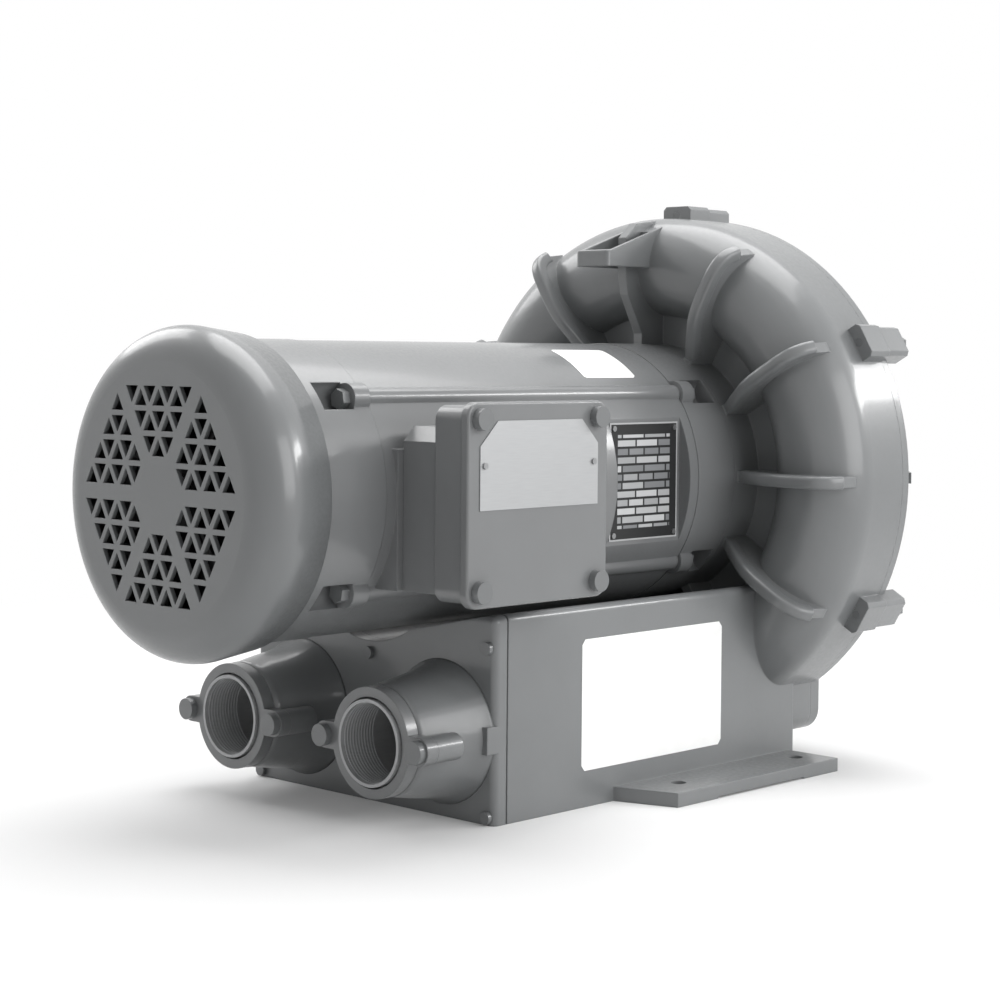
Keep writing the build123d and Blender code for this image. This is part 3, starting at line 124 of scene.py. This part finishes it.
def rib_crests(name):
    """Soft bead swept over one rib by a node tree and repeated round the shaft; sizes in metres."""
    low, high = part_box("motor_shaft")
    shaft_height = (low.z + high.z) / 2
    rib_count, under_loop = 9, 4
    line = [(0.134, 0.0685), (0.146, 0.0615), (0.161, 0.0535), (0.176, 0.0462), (0.194, 0.0428),
            (0.212, 0.0420), (0.226, 0.0424), (0.236, 0.0455), (0.2430, 0.0525), (0.2472, 0.0620)]
    start = bpy.data.meshes.new(name + "_line")
    start.from_pydata([(r, y, 0) for r, y in line], [(i, i + 1) for i in range(len(line) - 1)], [])
    holder = bpy.data.objects.new(name + "_holder", start)
    bpy.context.scene.collection.objects.link(holder)
    sizes = {"Width": 0.0122, "Height": 0.0140, "Round": 0.0036, "Step": radians(30),
             "First": radians(-30)}
    tree = bpy.data.node_groups.new(name + "_tree", "GeometryNodeTree")
    tree.interface.new_socket("Geometry", in_out="OUTPUT", socket_type="NodeSocketGeometry")
    tree.interface.new_socket("Geometry", in_out="INPUT", socket_type="NodeSocketGeometry")
    sockets = {}
    for title, value in sizes.items():
        socket = tree.interface.new_socket(title, in_out="INPUT", socket_type="NodeSocketFloat")
        socket.default_value = value
        sockets[title] = socket.identifier
    given = add_node(tree, "NodeGroupInput").outputs
    path = add_node(tree, "GeometryNodeMeshToCurve", links={"Mesh": given["Geometry"]})
    smooth = add_node(tree, "GeometryNodeCurveSplineType", {"spline_type": "CATMULL_ROM"},
                      links={"Curve": path.outputs["Curve"]})
    fine = add_node(tree, "GeometryNodeSetSplineResolution", inputs={"Resolution": 5},
                    links={"Geometry": smooth.outputs["Curve"]})
    upright = add_node(tree, "GeometryNodeSetCurveNormal", {"mode": "Z_UP"},
                       links={"Curve": fine.outputs["Geometry"]})
    section = add_node(tree, "GeometryNodeCurvePrimitiveQuadrilateral",
                       links={"Width": given["Height"], "Height": given["Width"]})
    rounded = add_node(tree, "GeometryNodeFilletCurve", {"mode": "POLY"}, {"Count": 4},
                       {"Curve": section.outputs["Curve"], "Radius": given["Round"]})
    bead = add_node(tree, "GeometryNodeCurveToMesh", inputs={"Fill Caps": True},
                    links={"Curve": upright.outputs["Curve"],
                           "Profile Curve": rounded.outputs["Curve"]})
    spots = add_node(tree, "GeometryNodeMeshLine", inputs={"Count": rib_count, "Offset": (0, 0, 0)})
    number = add_node(tree, "GeometryNodeInputIndex")
    turned = add_node(tree, "ShaderNodeMath", {"operation": "MULTIPLY_ADD"},
                      links={0: number.outputs[0], 1: given["Step"], 2: given["First"]})
    back = add_node(tree, "ShaderNodeMath", {"operation": "MULTIPLY"}, {1: -1.0},
                    {0: turned.outputs[0]})
    spin = add_node(tree, "ShaderNodeCombineXYZ", links={"Y": back.outputs[0]})
    clear = add_node(tree, "FunctionNodeCompare", {"data_type": "INT", "operation": "NOT_EQUAL"},
                     {3: under_loop}, {2: number.outputs[0]})
    copies = add_node(tree, "GeometryNodeInstanceOnPoints",
                      links={"Points": spots.outputs["Mesh"], "Instance": bead.outputs["Mesh"],
                             "Rotation": spin.outputs["Vector"], "Selection": clear.outputs[0]})
    real = add_node(tree, "GeometryNodeRealizeInstances",
                    links={"Geometry": copies.outputs["Instances"]})
    painted = add_node(tree, "GeometryNodeSetMaterial", inputs={"Material": enamel_on_sand_casting},
                       links={"Geometry": real.outputs["Geometry"]})
    add_node(tree, "NodeGroupOutput", links={"Geometry": painted.outputs["Geometry"]})
    modifier = holder.modifiers.new("ribs", "NODES")
    modifier.node_group = tree
    for title, value in sizes.items():
        modifier[sockets[title]] = value
    state = bpy.context.evaluated_depsgraph_get()
    mesh = bpy.data.meshes.new_from_object(holder.evaluated_get(state))
    bpy.data.objects.remove(holder)
    mesh.transform(Matrix.Translation((0, 0, shaft_height)))
    for face in mesh.polygons:
        face.use_smooth = True
    piece = bpy.data.objects.new(name, mesh)
    bpy.context.scene.collection.objects.link(piece)
    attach(piece, "blower_body")


rib_crests("housing_rib_crests")


# Port necks. Each pipe neck is cast with the manifold as one smooth cone that widens into the
# plate, so a smooth skin lies over the plain steps of the solid.

def neck_skin(name, node):
    """Closed ring turned about a port's line, smooth from flange to plate; sizes in metres."""
    low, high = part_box(node)
    middle_x, middle_z = (low.x + high.x) / 2, (low.z + high.z) / 2
    line = [(-0.3672, 0.0468), (-0.3600, 0.0472), (-0.3500, 0.0492), (-0.3380, 0.0513),
            (-0.3220, 0.0537), (-0.3100, 0.0566), (-0.3030, 0.0592), (-0.2985, 0.0612),
            (-0.2962, 0.0625)]
    core = 0.0435
    section = line + [(y, core) for y, r in reversed(line)]
    turns, steps = 96, len(section)
    points, faces = [], []
    for turn in range(turns):
        angle = 2 * pi * turn / turns
        points += [(middle_x + r * cos(angle), y, middle_z + r * sin(angle)) for y, r in section]
        follows = (turn + 1) % turns
        for i in range(steps):
            j = (i + 1) % steps
            faces.append((turn * steps + i, turn * steps + j,
                          follows * steps + j, follows * steps + i))
    mesh = bpy.data.meshes.new(name)
    mesh.from_pydata(points, [], faces)
    mesh.materials.append(enamel_on_sand_casting)
    for face in mesh.polygons:
        face.use_smooth = face.index % steps < len(line) - 1
    piece = bpy.data.objects.new(name, mesh)
    bpy.context.scene.collection.objects.link(piece)
    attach(piece, "blower_body")


neck_skin("inlet_neck_skin", "inlet_muffler_tube")
neck_skin("outlet_neck_skin", "outlet_muffler_tube")


# Motor frame, end brackets, fan cover and conduit box. The motor's shell is cast iron with a finer
# skin than the blower's, its rims turned, and the fan cover is a smooth casting. All of it is under
# the same enamel.

# Grey enamel over fine iron casting: the same colour with hardly any grain.
enamel_on_iron = grey_enamel("grey_enamel_on_fine_iron_casting", "#68696a", "#737576",
                             sand=3.0, sand_height=0.02, gloss=0.35, edge=1.6)
# Grey enamel over a smooth casting: the smoothest, so the lamps draw soft streaks along its edge.
enamel_on_cover = grey_enamel("grey_enamel_on_smooth_casting", "#666869", "#707273",
                              sand=3.0, sand_height=0.012, gloss=0.35, edge=1.4)
finish_nodes(enamel_on_iron, "painted_casting", "motor_frame", "fan_end_bracket",
             "drive_end_bracket", "conduit_box", "conduit_box_cover")
finish_nodes(enamel_on_cover, "painted_casting", "fan_cover")


# Fan cover's outside. It is one smooth casting from its rim over the round edge to the face, so a
# skin a fifth of a millimetre thick closes the four screw wells of the plain solid.

def cover_skin(name):
    """Closed skin turned about the shaft line: a cone, then the round edge; sizes in metres."""
    low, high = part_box("motor_shaft")
    height = (low.z + high.z) / 2
    edge_r, edge_y, bend, skin, depth = 0.10857, -0.50016, 0.02904, 0.0002, 0.0012
    rim_y, rim_r = -0.4604, 0.1326
    sinks_at = 70
    outer = [(rim_y, rim_r + skin)]
    inner = [(rim_y, rim_r - depth)]
    for angle in range(12, -84, -5):
        fade = min(1.0, (angle + sinks_at) / 25)
        for line, offset in ((outer, skin * fade), (inner, -depth)):
            line.append((edge_y + (bend + offset) * sin(radians(angle)),
                         edge_r + (bend + offset) * cos(radians(angle))))
    section = outer + inner[::-1]
    turns, steps = 192, len(section)
    points, faces = [], []
    for turn in range(turns):
        angle = 2 * pi * turn / turns
        points += [(r * cos(angle), y, height + r * sin(angle)) for y, r in section]
        follows = (turn + 1) % turns
        for i in range(steps):
            j = (i + 1) % steps
            faces.append((turn * steps + i, follows * steps + i,
                          follows * steps + j, turn * steps + j))
    mesh = bpy.data.meshes.new(name)
    mesh.from_pydata(points, [], faces)
    mesh.materials.append(enamel_on_cover)
    for face in mesh.polygons:
        face.use_smooth = face.index % steps < len(outer) - 1
    piece = bpy.data.objects.new(name, mesh)
    bpy.context.scene.collection.objects.link(piece)
    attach(piece, "blower_body")


cover_skin("fan_cover_skin")


# Port flanges, bolts and screws. They were fitted before spraying, so they carry the same enamel, a
# little thicker and darker where it ran over the heads.

# Grey enamel over rolled steel: thick and smooth, with well rounded corners.
enamel_on_fasteners = grey_enamel("grey_enamel_on_steel_fasteners", "#626465", "#6e7071",
                                  sand=2.0, sand_height=0.015, gloss=0.35, edge=0.8)
finish_nodes(enamel_on_fasteners, "painted_fastener", "cover_bolts", "manifold_screws",
             "port_flange_bolts", "fan_bracket_bolts", "drive_bracket_bolts", "fan_cover_screws",
             "conduit_cover_bolts")
finish_nodes(enamel_on_iron, "painted_casting", "inlet_port_flange", "outlet_port_flange")


# Muffler tubes and their threads. Each port is the end of a drawn steel tube, threaded inside for
# the pipe and oversprayed as far as the gun reached. Its pale grey, lighter than the enamel, is
# painted light that lifts the shade deep in the bore.

# Zinc plated drawn steel under overspray, with faint marks drawn out along the tube; coloured a pale
# grey as painted light over the bore's shade.
tube_with_painted_bore_light, tree, place, shader = new_surface("oversprayed_drawn_steel_with_painted_bore_light", Metallic=0.25)
stretched = add_node(tree, "ShaderNodeMapping", inputs={"Scale": (1, 0.15, 1)},
                     links={"Vector": place})
marks = add_node(tree, "ShaderNodeTexNoise", inputs={"Scale": 1000 / 2, "Detail": 3.0},
                 links={"Vector": stretched.outputs["Vector"]})
# The pale grey, lighter than the enamel outside, is painted light over the shade inside the bore.
colour = add_node(tree, "ShaderNodeMix", {"data_type": "RGBA"},
                  {6: linear("#9a9b9c"), 7: linear("#acadae")}, {0: marks.outputs["Fac"]})
rough = add_node(tree, "ShaderNodeMapRange", inputs={"To Min": 0.42, "To Max": 0.56},
                 links={"Value": marks.outputs["Fac"]})
drawn = add_node(tree, "ShaderNodeBump", inputs={"Distance": 0.01 / 1000},
                 links={"Height": marks.outputs["Fac"]})
tree.links.new(colour.outputs[2], shader.inputs["Base Color"])
tree.links.new(rough.outputs["Result"], shader.inputs["Roughness"])
tree.links.new(drawn.outputs["Normal"], shader.inputs["Normal"])
finish_nodes(tube_with_painted_bore_light, "steel_tube", "inlet_muffler_tube", "outlet_muffler_tube")


def port_thread(name, node):
    """Pipe thread in a port: a low ridge swept along a helix by a node tree; sizes in metres."""
    sizes = {"Bore radius": 0.0338, "Pitch": 0.00318, "Depth": 0.0005, "Length": 0.0345}
    tree = bpy.data.node_groups.new(name + "_tree", "GeometryNodeTree")
    tree.interface.new_socket("Geometry", in_out="OUTPUT", socket_type="NodeSocketGeometry")
    sockets = {}
    for title, value in sizes.items():
        socket = tree.interface.new_socket(title, in_out="INPUT", socket_type="NodeSocketFloat")
        socket.default_value = value
        sockets[title] = socket.identifier
    given = add_node(tree, "NodeGroupInput").outputs
    turns = add_node(tree, "ShaderNodeMath", {"operation": "DIVIDE"},
                     links={0: given["Length"], 1: given["Pitch"]})
    helix = add_node(tree, "GeometryNodeCurveSpiral", inputs={"Resolution": 72},
                     links={"Rotations": turns.outputs[0], "Start Radius": given["Bore radius"],
                            "End Radius": given["Bore radius"], "Height": given["Length"]})
    ridge = add_node(tree, "GeometryNodeCurvePrimitiveCircle", inputs={"Resolution": 6},
                     links={"Radius": given["Depth"]})
    swept = add_node(tree, "GeometryNodeCurveToMesh", inputs={"Fill Caps": True},
                     links={"Curve": helix.outputs["Curve"],
                            "Profile Curve": ridge.outputs["Curve"]})
    real = add_node(tree, "GeometryNodeRealizeInstances", links={"Geometry": swept.outputs["Mesh"]})
    painted = add_node(tree, "GeometryNodeSetMaterial", inputs={"Material": tube_with_painted_bore_light},
                       links={"Geometry": real.outputs["Geometry"]})
    add_node(tree, "NodeGroupOutput", links={"Geometry": painted.outputs["Geometry"]})
    holder = bpy.data.objects.new(name + "_holder", bpy.data.meshes.new(name + "_base"))
    bpy.context.scene.collection.objects.link(holder)
    modifier = holder.modifiers.new("thread", "NODES")
    modifier.node_group = tree
    for title, value in sizes.items():
        modifier[sockets[title]] = value
    state = bpy.context.evaluated_depsgraph_get()
    mesh = bpy.data.meshes.new_from_object(holder.evaluated_get(state))
    bpy.data.objects.remove(holder)
    low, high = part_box(node)
    lead_in = 0.003
    start = Vector(((low.x + high.x) / 2, low.y + lead_in, (low.z + high.z) / 2))
    mesh.transform(Matrix.Translation(start) @ Matrix.Rotation(radians(-90), 4, "X"))
    piece = bpy.data.objects.new(name, mesh)
    bpy.context.scene.collection.objects.link(piece)
    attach(piece, "blower_body")


port_thread("inlet_port_thread", "inlet_muffler_tube")
port_thread("outlet_port_thread", "outlet_muffler_tube")


# Foam and shaft seal. The muffler spaces are filled with charcoal open-cell polyether foam, cut to
# blocks. The lip seal in the hub is moulded nitrile rubber.

def dull_stuff(name, dark, light, gloss, cell, cell_height):
    """Dull soft or moulded stuff with a grain; sizes in millimetres."""
    made, tree, place, shader = new_surface(name)
    cells = add_node(tree, "ShaderNodeTexNoise", inputs={"Scale": 1000 / cell, "Detail": 3.0},
                     links={"Vector": place})
    colour = add_node(tree, "ShaderNodeMix", {"data_type": "RGBA"},
                      {6: linear(dark), 7: linear(light)}, {0: cells.outputs["Fac"]})
    rough = add_node(tree, "ShaderNodeMapRange",
                     inputs={"To Min": gloss - 0.08, "To Max": gloss + 0.08},
                     links={"Value": cells.outputs["Fac"]})
    pitted = add_node(tree, "ShaderNodeBump", inputs={"Distance": cell_height / 1000},
                      links={"Height": cells.outputs["Fac"]})
    tree.links.new(colour.outputs[2], shader.inputs["Base Color"])
    tree.links.new(rough.outputs["Result"], shader.inputs["Roughness"])
    tree.links.new(pitted.outputs["Normal"], shader.inputs["Normal"])
    return made


# Polyether foam, cut: its 1.5 mm cells are drawn at 3 mm so that they show.
finish_nodes(dull_stuff("polyether_foam_cut", "#141517", "#424448", 0.9, 3.0, 0.6), "foam",
             "inlet_muffler_foam", "outlet_muffler_foam")
# Nitrile rubber, moulded: near black with a faint bloom.
finish_nodes(dull_stuff("nitrile_rubber_moulded", "#181819", "#262627", 0.6, 2.0, 0.02),
             "seal_rubber", "shaft_seal")


# Rotor, bearings and shaft. The shaft, key, washer and bearings are turned and ground steel, left
# bare. Rotor and stator are punched sheets stacked on edge, and the rotor's end rings are cast on.

def bare_metal(name, dark, light, gloss, mark, mark_height, stretch):
    """Bare metal with fine marks from its making, drawn out by a stretch; sizes in millimetres."""
    made, tree, place, shader = new_surface(name, Metallic=1.0)
    drawn = add_node(tree, "ShaderNodeMapping", inputs={"Scale": stretch}, links={"Vector": place})
    marks = add_node(tree, "ShaderNodeTexNoise", inputs={"Scale": 1000 / mark, "Detail": 3.0},
                     links={"Vector": drawn.outputs["Vector"]})
    colour = add_node(tree, "ShaderNodeMix", {"data_type": "RGBA"},
                      {6: linear(dark), 7: linear(light)}, {0: marks.outputs["Fac"]})
    rough = add_node(tree, "ShaderNodeMapRange",
                     inputs={"To Min": gloss - 0.07, "To Max": gloss + 0.07},
                     links={"Value": marks.outputs["Fac"]})
    scored = add_node(tree, "ShaderNodeBump", inputs={"Distance": mark_height / 1000},
                      links={"Height": marks.outputs["Fac"]})
    tree.links.new(colour.outputs[2], shader.inputs["Base Color"])
    tree.links.new(rough.outputs["Result"], shader.inputs["Roughness"])
    tree.links.new(scored.outputs["Normal"], shader.inputs["Normal"])
    return made


# Turned and ground steel: bright, with fine rings round the shaft.
ground_steel = bare_metal("steel_turned_and_ground", "#9a9b9c", "#b4b5b6", 0.26, 0.8, 0.008,
                          (1, 6, 1))
finish_nodes(ground_steel, "bare_steel", "motor_shaft", "impeller_key", "impeller_shims",
             "impeller_washer", "impeller_bolt", "motor_mount_bolts", "preload_spring")
finish_nodes(ground_steel, "bare_steel", "drive_bearing_inner_ring", "drive_bearing_outer_ring",
             "drive_bearing_balls", "drive_bearing_cage", "fan_bearing_inner_ring",
             "fan_bearing_outer_ring", "fan_bearing_balls", "fan_bearing_cage")
# Electrical sheet, punched and stacked: dark grey with a fine line at each sheet's edge.
finish_nodes(bare_metal("electrical_sheet_stacked", "#3d3f42", "#5a5c5f", 0.5, 2.0, 0.05,
                        (0.2, 8, 0.2)),
             "bare_steel", "stator_core", "rotor_core")


# Impeller and cooling fan. The impeller is die-cast aluminium, blasted and left bare. The cooling
# fan is moulded in black polypropylene and shows dark behind the grille.

# Die-cast aluminium, blasted: matt silver without direction.
finish_nodes(bare_metal("aluminium_die_cast_blasted", "#a2a4a6", "#b6b8ba", 0.45, 1.6, 0.04,
                        (1, 1, 1)),
             "cast_aluminium", "impeller")
# Polypropylene, moulded: black with a low sheen.
finish_nodes(dull_stuff("polypropylene_moulded", "#1b1c1d", "#2a2b2c", 0.45, 1.5, 0.02),
             "fan_plastic", "cooling_fan")


# Stator winding. It is enamelled copper wire, wound round the core, laced and dipped in varnish.

# Copper wire, varnished: brown with the run of the wires drawn at 1.2 mm.
finish_nodes(bare_metal("copper_wire_varnished", "#7a3f20", "#a35c30", 0.35, 1.2, 0.15, (1, 1, 0.3)),
             "copper_winding", "stator_windings")


# Plate and pins on the conduit box's lid. The plate is thin aluminium sheet, brushed lengthways,
# left blank and held by two steel pins.

# Aluminium sheet, brushed: satin, with hair lines along it drawn at 0.9 mm.
finish_nodes(bare_metal("aluminium_sheet_brushed", "#9c9d9e", "#aaabac", 0.5, 0.9, 0.004,
                        (1, 0.05, 1)),
             "plate_aluminium", "conduit_plate")
# Steel pins, turned: brighter than the sheet.
finish_nodes(bare_metal("steel_pins_turned", "#8a8b8c", "#a2a3a4", 0.35, 1.0, 0.01, (1, 1, 1)),
             "bare_steel", "conduit_plate_rivets", "rating_plate_pins")


# Rating plate on the frame's flat. It is aluminium sheet, anodised black with a bare line round it
# and rows of bare and half-toned fields, all left blank here.

# Aluminium, anodised black: matt black, with the sheet's own light grey in the printed-out fields.
anodised_plate, tree, place, shader = new_surface("aluminium_black_anodised", Roughness=0.42)
low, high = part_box("rating_plate")
middle, half = (low + high) / 2, (high - low) / 2
centred = add_node(tree, "ShaderNodeMapping", {"vector_type": "POINT"}, {"Location": -middle},
                   {"Vector": place})
parts = add_node(tree, "ShaderNodeSeparateXYZ", links={"Vector": centred.outputs["Vector"]})
upright = add_node(tree, "ShaderNodeCombineXYZ",
                   links={"X": parts.outputs["Y"], "Y": parts.outputs["Z"]})
rows = add_node(tree, "ShaderNodeTexBrick",
                {"offset": 0.37, "offset_frequency": 2, "squash": 0.7, "squash_frequency": 3},
                {"Color1": linear("#77797b"), "Color2": linear("#c9cacb"),
                 "Mortar": linear("#161718"), "Scale": 1.0, "Mortar Size": 0.0011,
                 "Mortar Smooth": 0.0, "Bias": -0.15, "Brick Width": 0.031, "Row Height": 0.0078},
                {"Vector": upright.outputs["Vector"]})
reach_y = add_node(tree, "ShaderNodeMath", {"operation": "ABSOLUTE"}, links={0: parts.outputs["Y"]})
reach_z = add_node(tree, "ShaderNodeMath", {"operation": "ABSOLUTE"}, links={0: parts.outputs["Z"]})
from_end = add_node(tree, "ShaderNodeMath", {"operation": "SUBTRACT"}, {0: half.y},
                    {1: reach_y.outputs[0]})
from_top = add_node(tree, "ShaderNodeMath", {"operation": "SUBTRACT"}, {0: half.z},
                    {1: reach_z.outputs[0]})
from_edge = add_node(tree, "ShaderNodeMath", {"operation": "MINIMUM"},
                     links={0: from_end.outputs[0], 1: from_top.outputs[0]})
margin, border = 0.011, 0.0015
inside = add_node(tree, "ShaderNodeMath", {"operation": "GREATER_THAN"}, {1: margin},
                  {0: from_edge.outputs[0]})
line = add_node(tree, "ShaderNodeMath", {"operation": "LESS_THAN"}, {1: border},
                {0: from_edge.outputs[0]})
table = add_node(tree, "ShaderNodeMix", {"data_type": "RGBA"}, {6: linear("#161718")},
                 {0: inside.outputs[0], 7: rows.outputs["Color"]})
lined = add_node(tree, "ShaderNodeMix", {"data_type": "RGBA"}, {7: linear("#a9aaab")},
                 {0: line.outputs[0], 6: table.outputs[2]})
tree.links.new(lined.outputs[2], shader.inputs["Base Color"])
finish_nodes(anodised_plate, "plate_black", "rating_plate")


# Labels on the base's side and on top of the motor. They are white vinyl with a thin gloss film,
# pressed flat on the paint, with round corners, and left blank.

# White vinyl under a gloss film: white all over, with the faintest cloud in it.
label_vinyl, tree, place, shader = new_surface("white_vinyl_laminated", Roughness=0.35)
cloud = add_node(tree, "ShaderNodeTexNoise", inputs={"Scale": 1000 / 12, "Detail": 2.0},
                 links={"Vector": place})
vinyl = add_node(tree, "ShaderNodeMix", {"data_type": "RGBA"},
                 {6: linear("#f0f0ef"), 7: linear("#fafaf9")}, {0: cloud.outputs["Fac"]})
tree.links.new(vinyl.outputs[2], shader.inputs["Base Color"])


def label(name, half_length, half_height, corner, lay):
    """Thin label with round corners, laid on a surface by a rule from its own flat place."""
    film = 0.0003
    levels = 24
    rows = [-half_height + 2 * half_height * i / levels for i in range(levels + 1)]
    outline = []
    for v in rows:
        depth = max(0.0, abs(v) - (half_height - corner))
        reach = half_length - corner + max(0.0, corner ** 2 - depth ** 2) ** 0.5
        outline.append((reach, v))
    points, faces = [], []
    for lift in (0.0, film):
        for reach, v in outline:
            points.append(lay(-reach, v, lift))
            points.append(lay(reach, v, lift))
    count = 2 * len(outline)
    for i in range(levels):
        a, b, c, d = 2 * i, 2 * i + 1, 2 * i + 3, 2 * i + 2
        faces.append((a, d, c, b))
        faces.append((a + count, b + count, c + count, d + count))
        faces.append((a, a + count, d + count, d))
        faces.append((b, c, c + count, b + count))
    last = 2 * levels
    faces.append((0, 1, 1 + count, count))
    faces.append((last, last + count, last + 1 + count, last + 1))
    mesh = bpy.data.meshes.new(name)
    mesh.from_pydata(points, [], faces)
    mesh.materials.append(label_vinyl)
    piece = bpy.data.objects.new(name, mesh)
    bpy.context.scene.collection.objects.link(piece)
    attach(piece, "blower_body")


def lay_on_side(u, v, lift):
    """Place on the base's flat side, for a point of the label there."""
    side = 0.154
    return side + lift, -0.0905 + u, 0.0895 + v


def lay_on_frame(u, v, lift):
    """Place on the motor's round top, for a point of the label there, bent round the shaft line."""
    low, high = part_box("motor_shaft")
    shaft_height = (low.z + high.z) / 2
    radius = 0.1265 + lift
    angle = radians(60) + v / radius
    return radius * cos(angle), -0.0735 + u, shaft_height + radius * sin(angle)


label("base_label", 0.0975, 0.0575, 0.004, lay_on_side)
label("motor_label", 0.036, 0.0255, 0.003, lay_on_frame)


# Floor, light and camera. A plain pale floor runs up behind as one sheet. One large soft lamp hangs
# overhead, weaker ones stand left and right, and a narrow one behind draws the streak on the cover.

def studio_sheet():
    """Floor with a backdrop joined to it by a quarter round."""
    half, reach, bend, height = 9.0, 7.0, 1.5, 7.0
    line = [(-6.0, 0.0), (reach - bend, 0.0)]
    line += [(reach - bend + bend * sin(radians(a)), bend - bend * cos(radians(a)))
             for a in range(10, 100, 10)]
    line.append((reach, height))
    away = radians(43.95)
    along = Vector((-sin(away), cos(away), 0))
    across = Vector((cos(away), sin(away), 0))
    points = [along * y + across * x + Vector((0, 0, z)) for y, z in line for x in (-half, half)]
    faces = [(2 * i, 2 * i + 1, 2 * i + 3, 2 * i + 2) for i in range(len(line) - 1)]
    mesh = bpy.data.meshes.new("studio_sheet")
    mesh.from_pydata(points, [], faces)
    for face in mesh.polygons:
        face.use_smooth = True
    sheet = bpy.data.objects.new("studio_sheet", mesh)
    bpy.context.scene.collection.objects.link(sheet)
    return sheet


def shown_rays(tree):
    """One for a ray from the camera, gloss or glass; nothing for a ray that lights the object."""
    ray = add_node(tree, "ShaderNodeLightPath").outputs
    shown = add_node(tree, "ShaderNodeMath", {"operation": "MAXIMUM"},
                     links={0: ray["Is Camera Ray"], 1: ray["Is Glossy Ray"]}).outputs[0]
    return add_node(tree, "ShaderNodeMath", {"operation": "MAXIMUM"},
                    links={0: shown, 1: ray["Is Transmission Ray"]}).outputs[0]


# Seamless paper: near white, fading to plain white away from the object, still taking its shadow.
paper_sheet, tree, place, shader = new_surface("white_seamless_paper", Roughness=0.9)
shader.inputs["Specular IOR Level"].default_value = 0.1
clouds = add_node(tree, "ShaderNodeTexNoise", inputs={"Scale": 0.25, "Detail": 1.0},
                  links={"Vector": place})
paper = add_node(tree, "ShaderNodeMix", {"data_type": "RGBA"},
                 {6: linear("#e6e6e6"), 7: linear("#eeeeee")}, {0: clouds.outputs["Fac"]})
tree.links.new(paper.outputs[2], shader.inputs["Base Color"])
distance = add_node(tree, "ShaderNodeVectorMath", {"operation": "LENGTH"}, links={0: place})
fade = add_node(tree, "ShaderNodeMapRange", {"interpolation_type": "SMOOTHSTEP"},
                {"From Min": 0.35, "From Max": 1.5, "To Min": 0.08, "To Max": 1.0},
                {"Value": distance.outputs["Value"]})
share = add_node(tree, "ShaderNodeMath", {"operation": "MULTIPLY"},
                 links={0: fade.outputs["Result"], 1: shown_rays(tree)})
white = add_node(tree, "ShaderNodeEmission", inputs={"Strength": 1.0})
mixed = add_node(tree, "ShaderNodeMixShader",
                 links={0: share.outputs[0], 1: shader.outputs["BSDF"], 2: white.outputs[0]})
output = next(node for node in tree.nodes if node.type == "OUTPUT_MATERIAL")
tree.links.new(mixed.outputs[0], output.inputs["Surface"])
studio_sheet().data.materials.append(paper_sheet)

world = bpy.data.worlds.new("studio")
world.use_nodes = True
bpy.context.scene.world = world
tree = world.node_tree
tree.nodes.clear()
lit = add_node(tree, "ShaderNodeBackground", inputs={"Color": linear("#ffffff"), "Strength": 0.44})
shown = add_node(tree, "ShaderNodeBackground", inputs={"Color": linear("#ffffff"), "Strength": 1.0})
mixed = add_node(tree, "ShaderNodeMixShader",
                 links={0: shown_rays(tree), 1: lit.outputs[0], 2: shown.outputs[0]})
add_node(tree, "ShaderNodeOutputWorld", links={"Surface": mixed.outputs[0]})


def soft_lamp(name, place, aim, width, height, power):
    """Large rectangular lamp that faces a point."""
    data = bpy.data.lights.new(name, "AREA")
    data.shape = "RECTANGLE"
    data.size, data.size_y, data.energy = width, height, power
    lamp = bpy.data.objects.new(name, data)
    bpy.context.scene.collection.objects.link(lamp)
    lamp.location = place
    lamp.rotation_mode = "QUATERNION"
    lamp.rotation_quaternion = (Vector(aim) - Vector(place)).to_track_quat("-Z", "Y")


soft_lamp("overhead_softbox", (-0.2, 0.4, 2.55), (0, 0, 0.2), 2.2, 2.2, 61)
soft_lamp("left_fill", (-2.0, -0.35, 1.7), (0, 0.05, 0.4), 1.4, 1.4, 24)
soft_lamp("right_softbox", (2.9, 0.3, 1.2), (0, 0, 0.25), 2.0, 2.0, 42)
soft_lamp("rear_softbox", (1.65, 2.0, 1.3), (0.12, -0.4, 0.3), 1.2, 0.4, 26)

camera_data = bpy.data.cameras.new("camera")
camera_data.sensor_width = 36.0
camera_data.lens = 77.52
camera_data.shift_y = -0.1
camera_data.clip_end = 60.0
camera = bpy.data.objects.new("camera", camera_data)
bpy.context.scene.collection.objects.link(camera)
turn, tilt, roll = radians(43.95), radians(-1.28), radians(0.49)
ahead = Vector((-sin(turn) * cos(tilt), cos(turn) * cos(tilt), sin(tilt)))
level = Vector((cos(turn), sin(turn), 0))
above = level.cross(ahead)
right = level * cos(roll) + above * sin(roll)
up = above * cos(roll) - level * sin(roll)
axes = Matrix((right, up, -ahead)).transposed().to_4x4()
camera.matrix_world = Matrix.Translation((1.39649, -1.58266, 0.39655)) @ axes
bpy.context.scene.camera = camera
bpy.context.scene.view_settings.view_transform = "Standard"
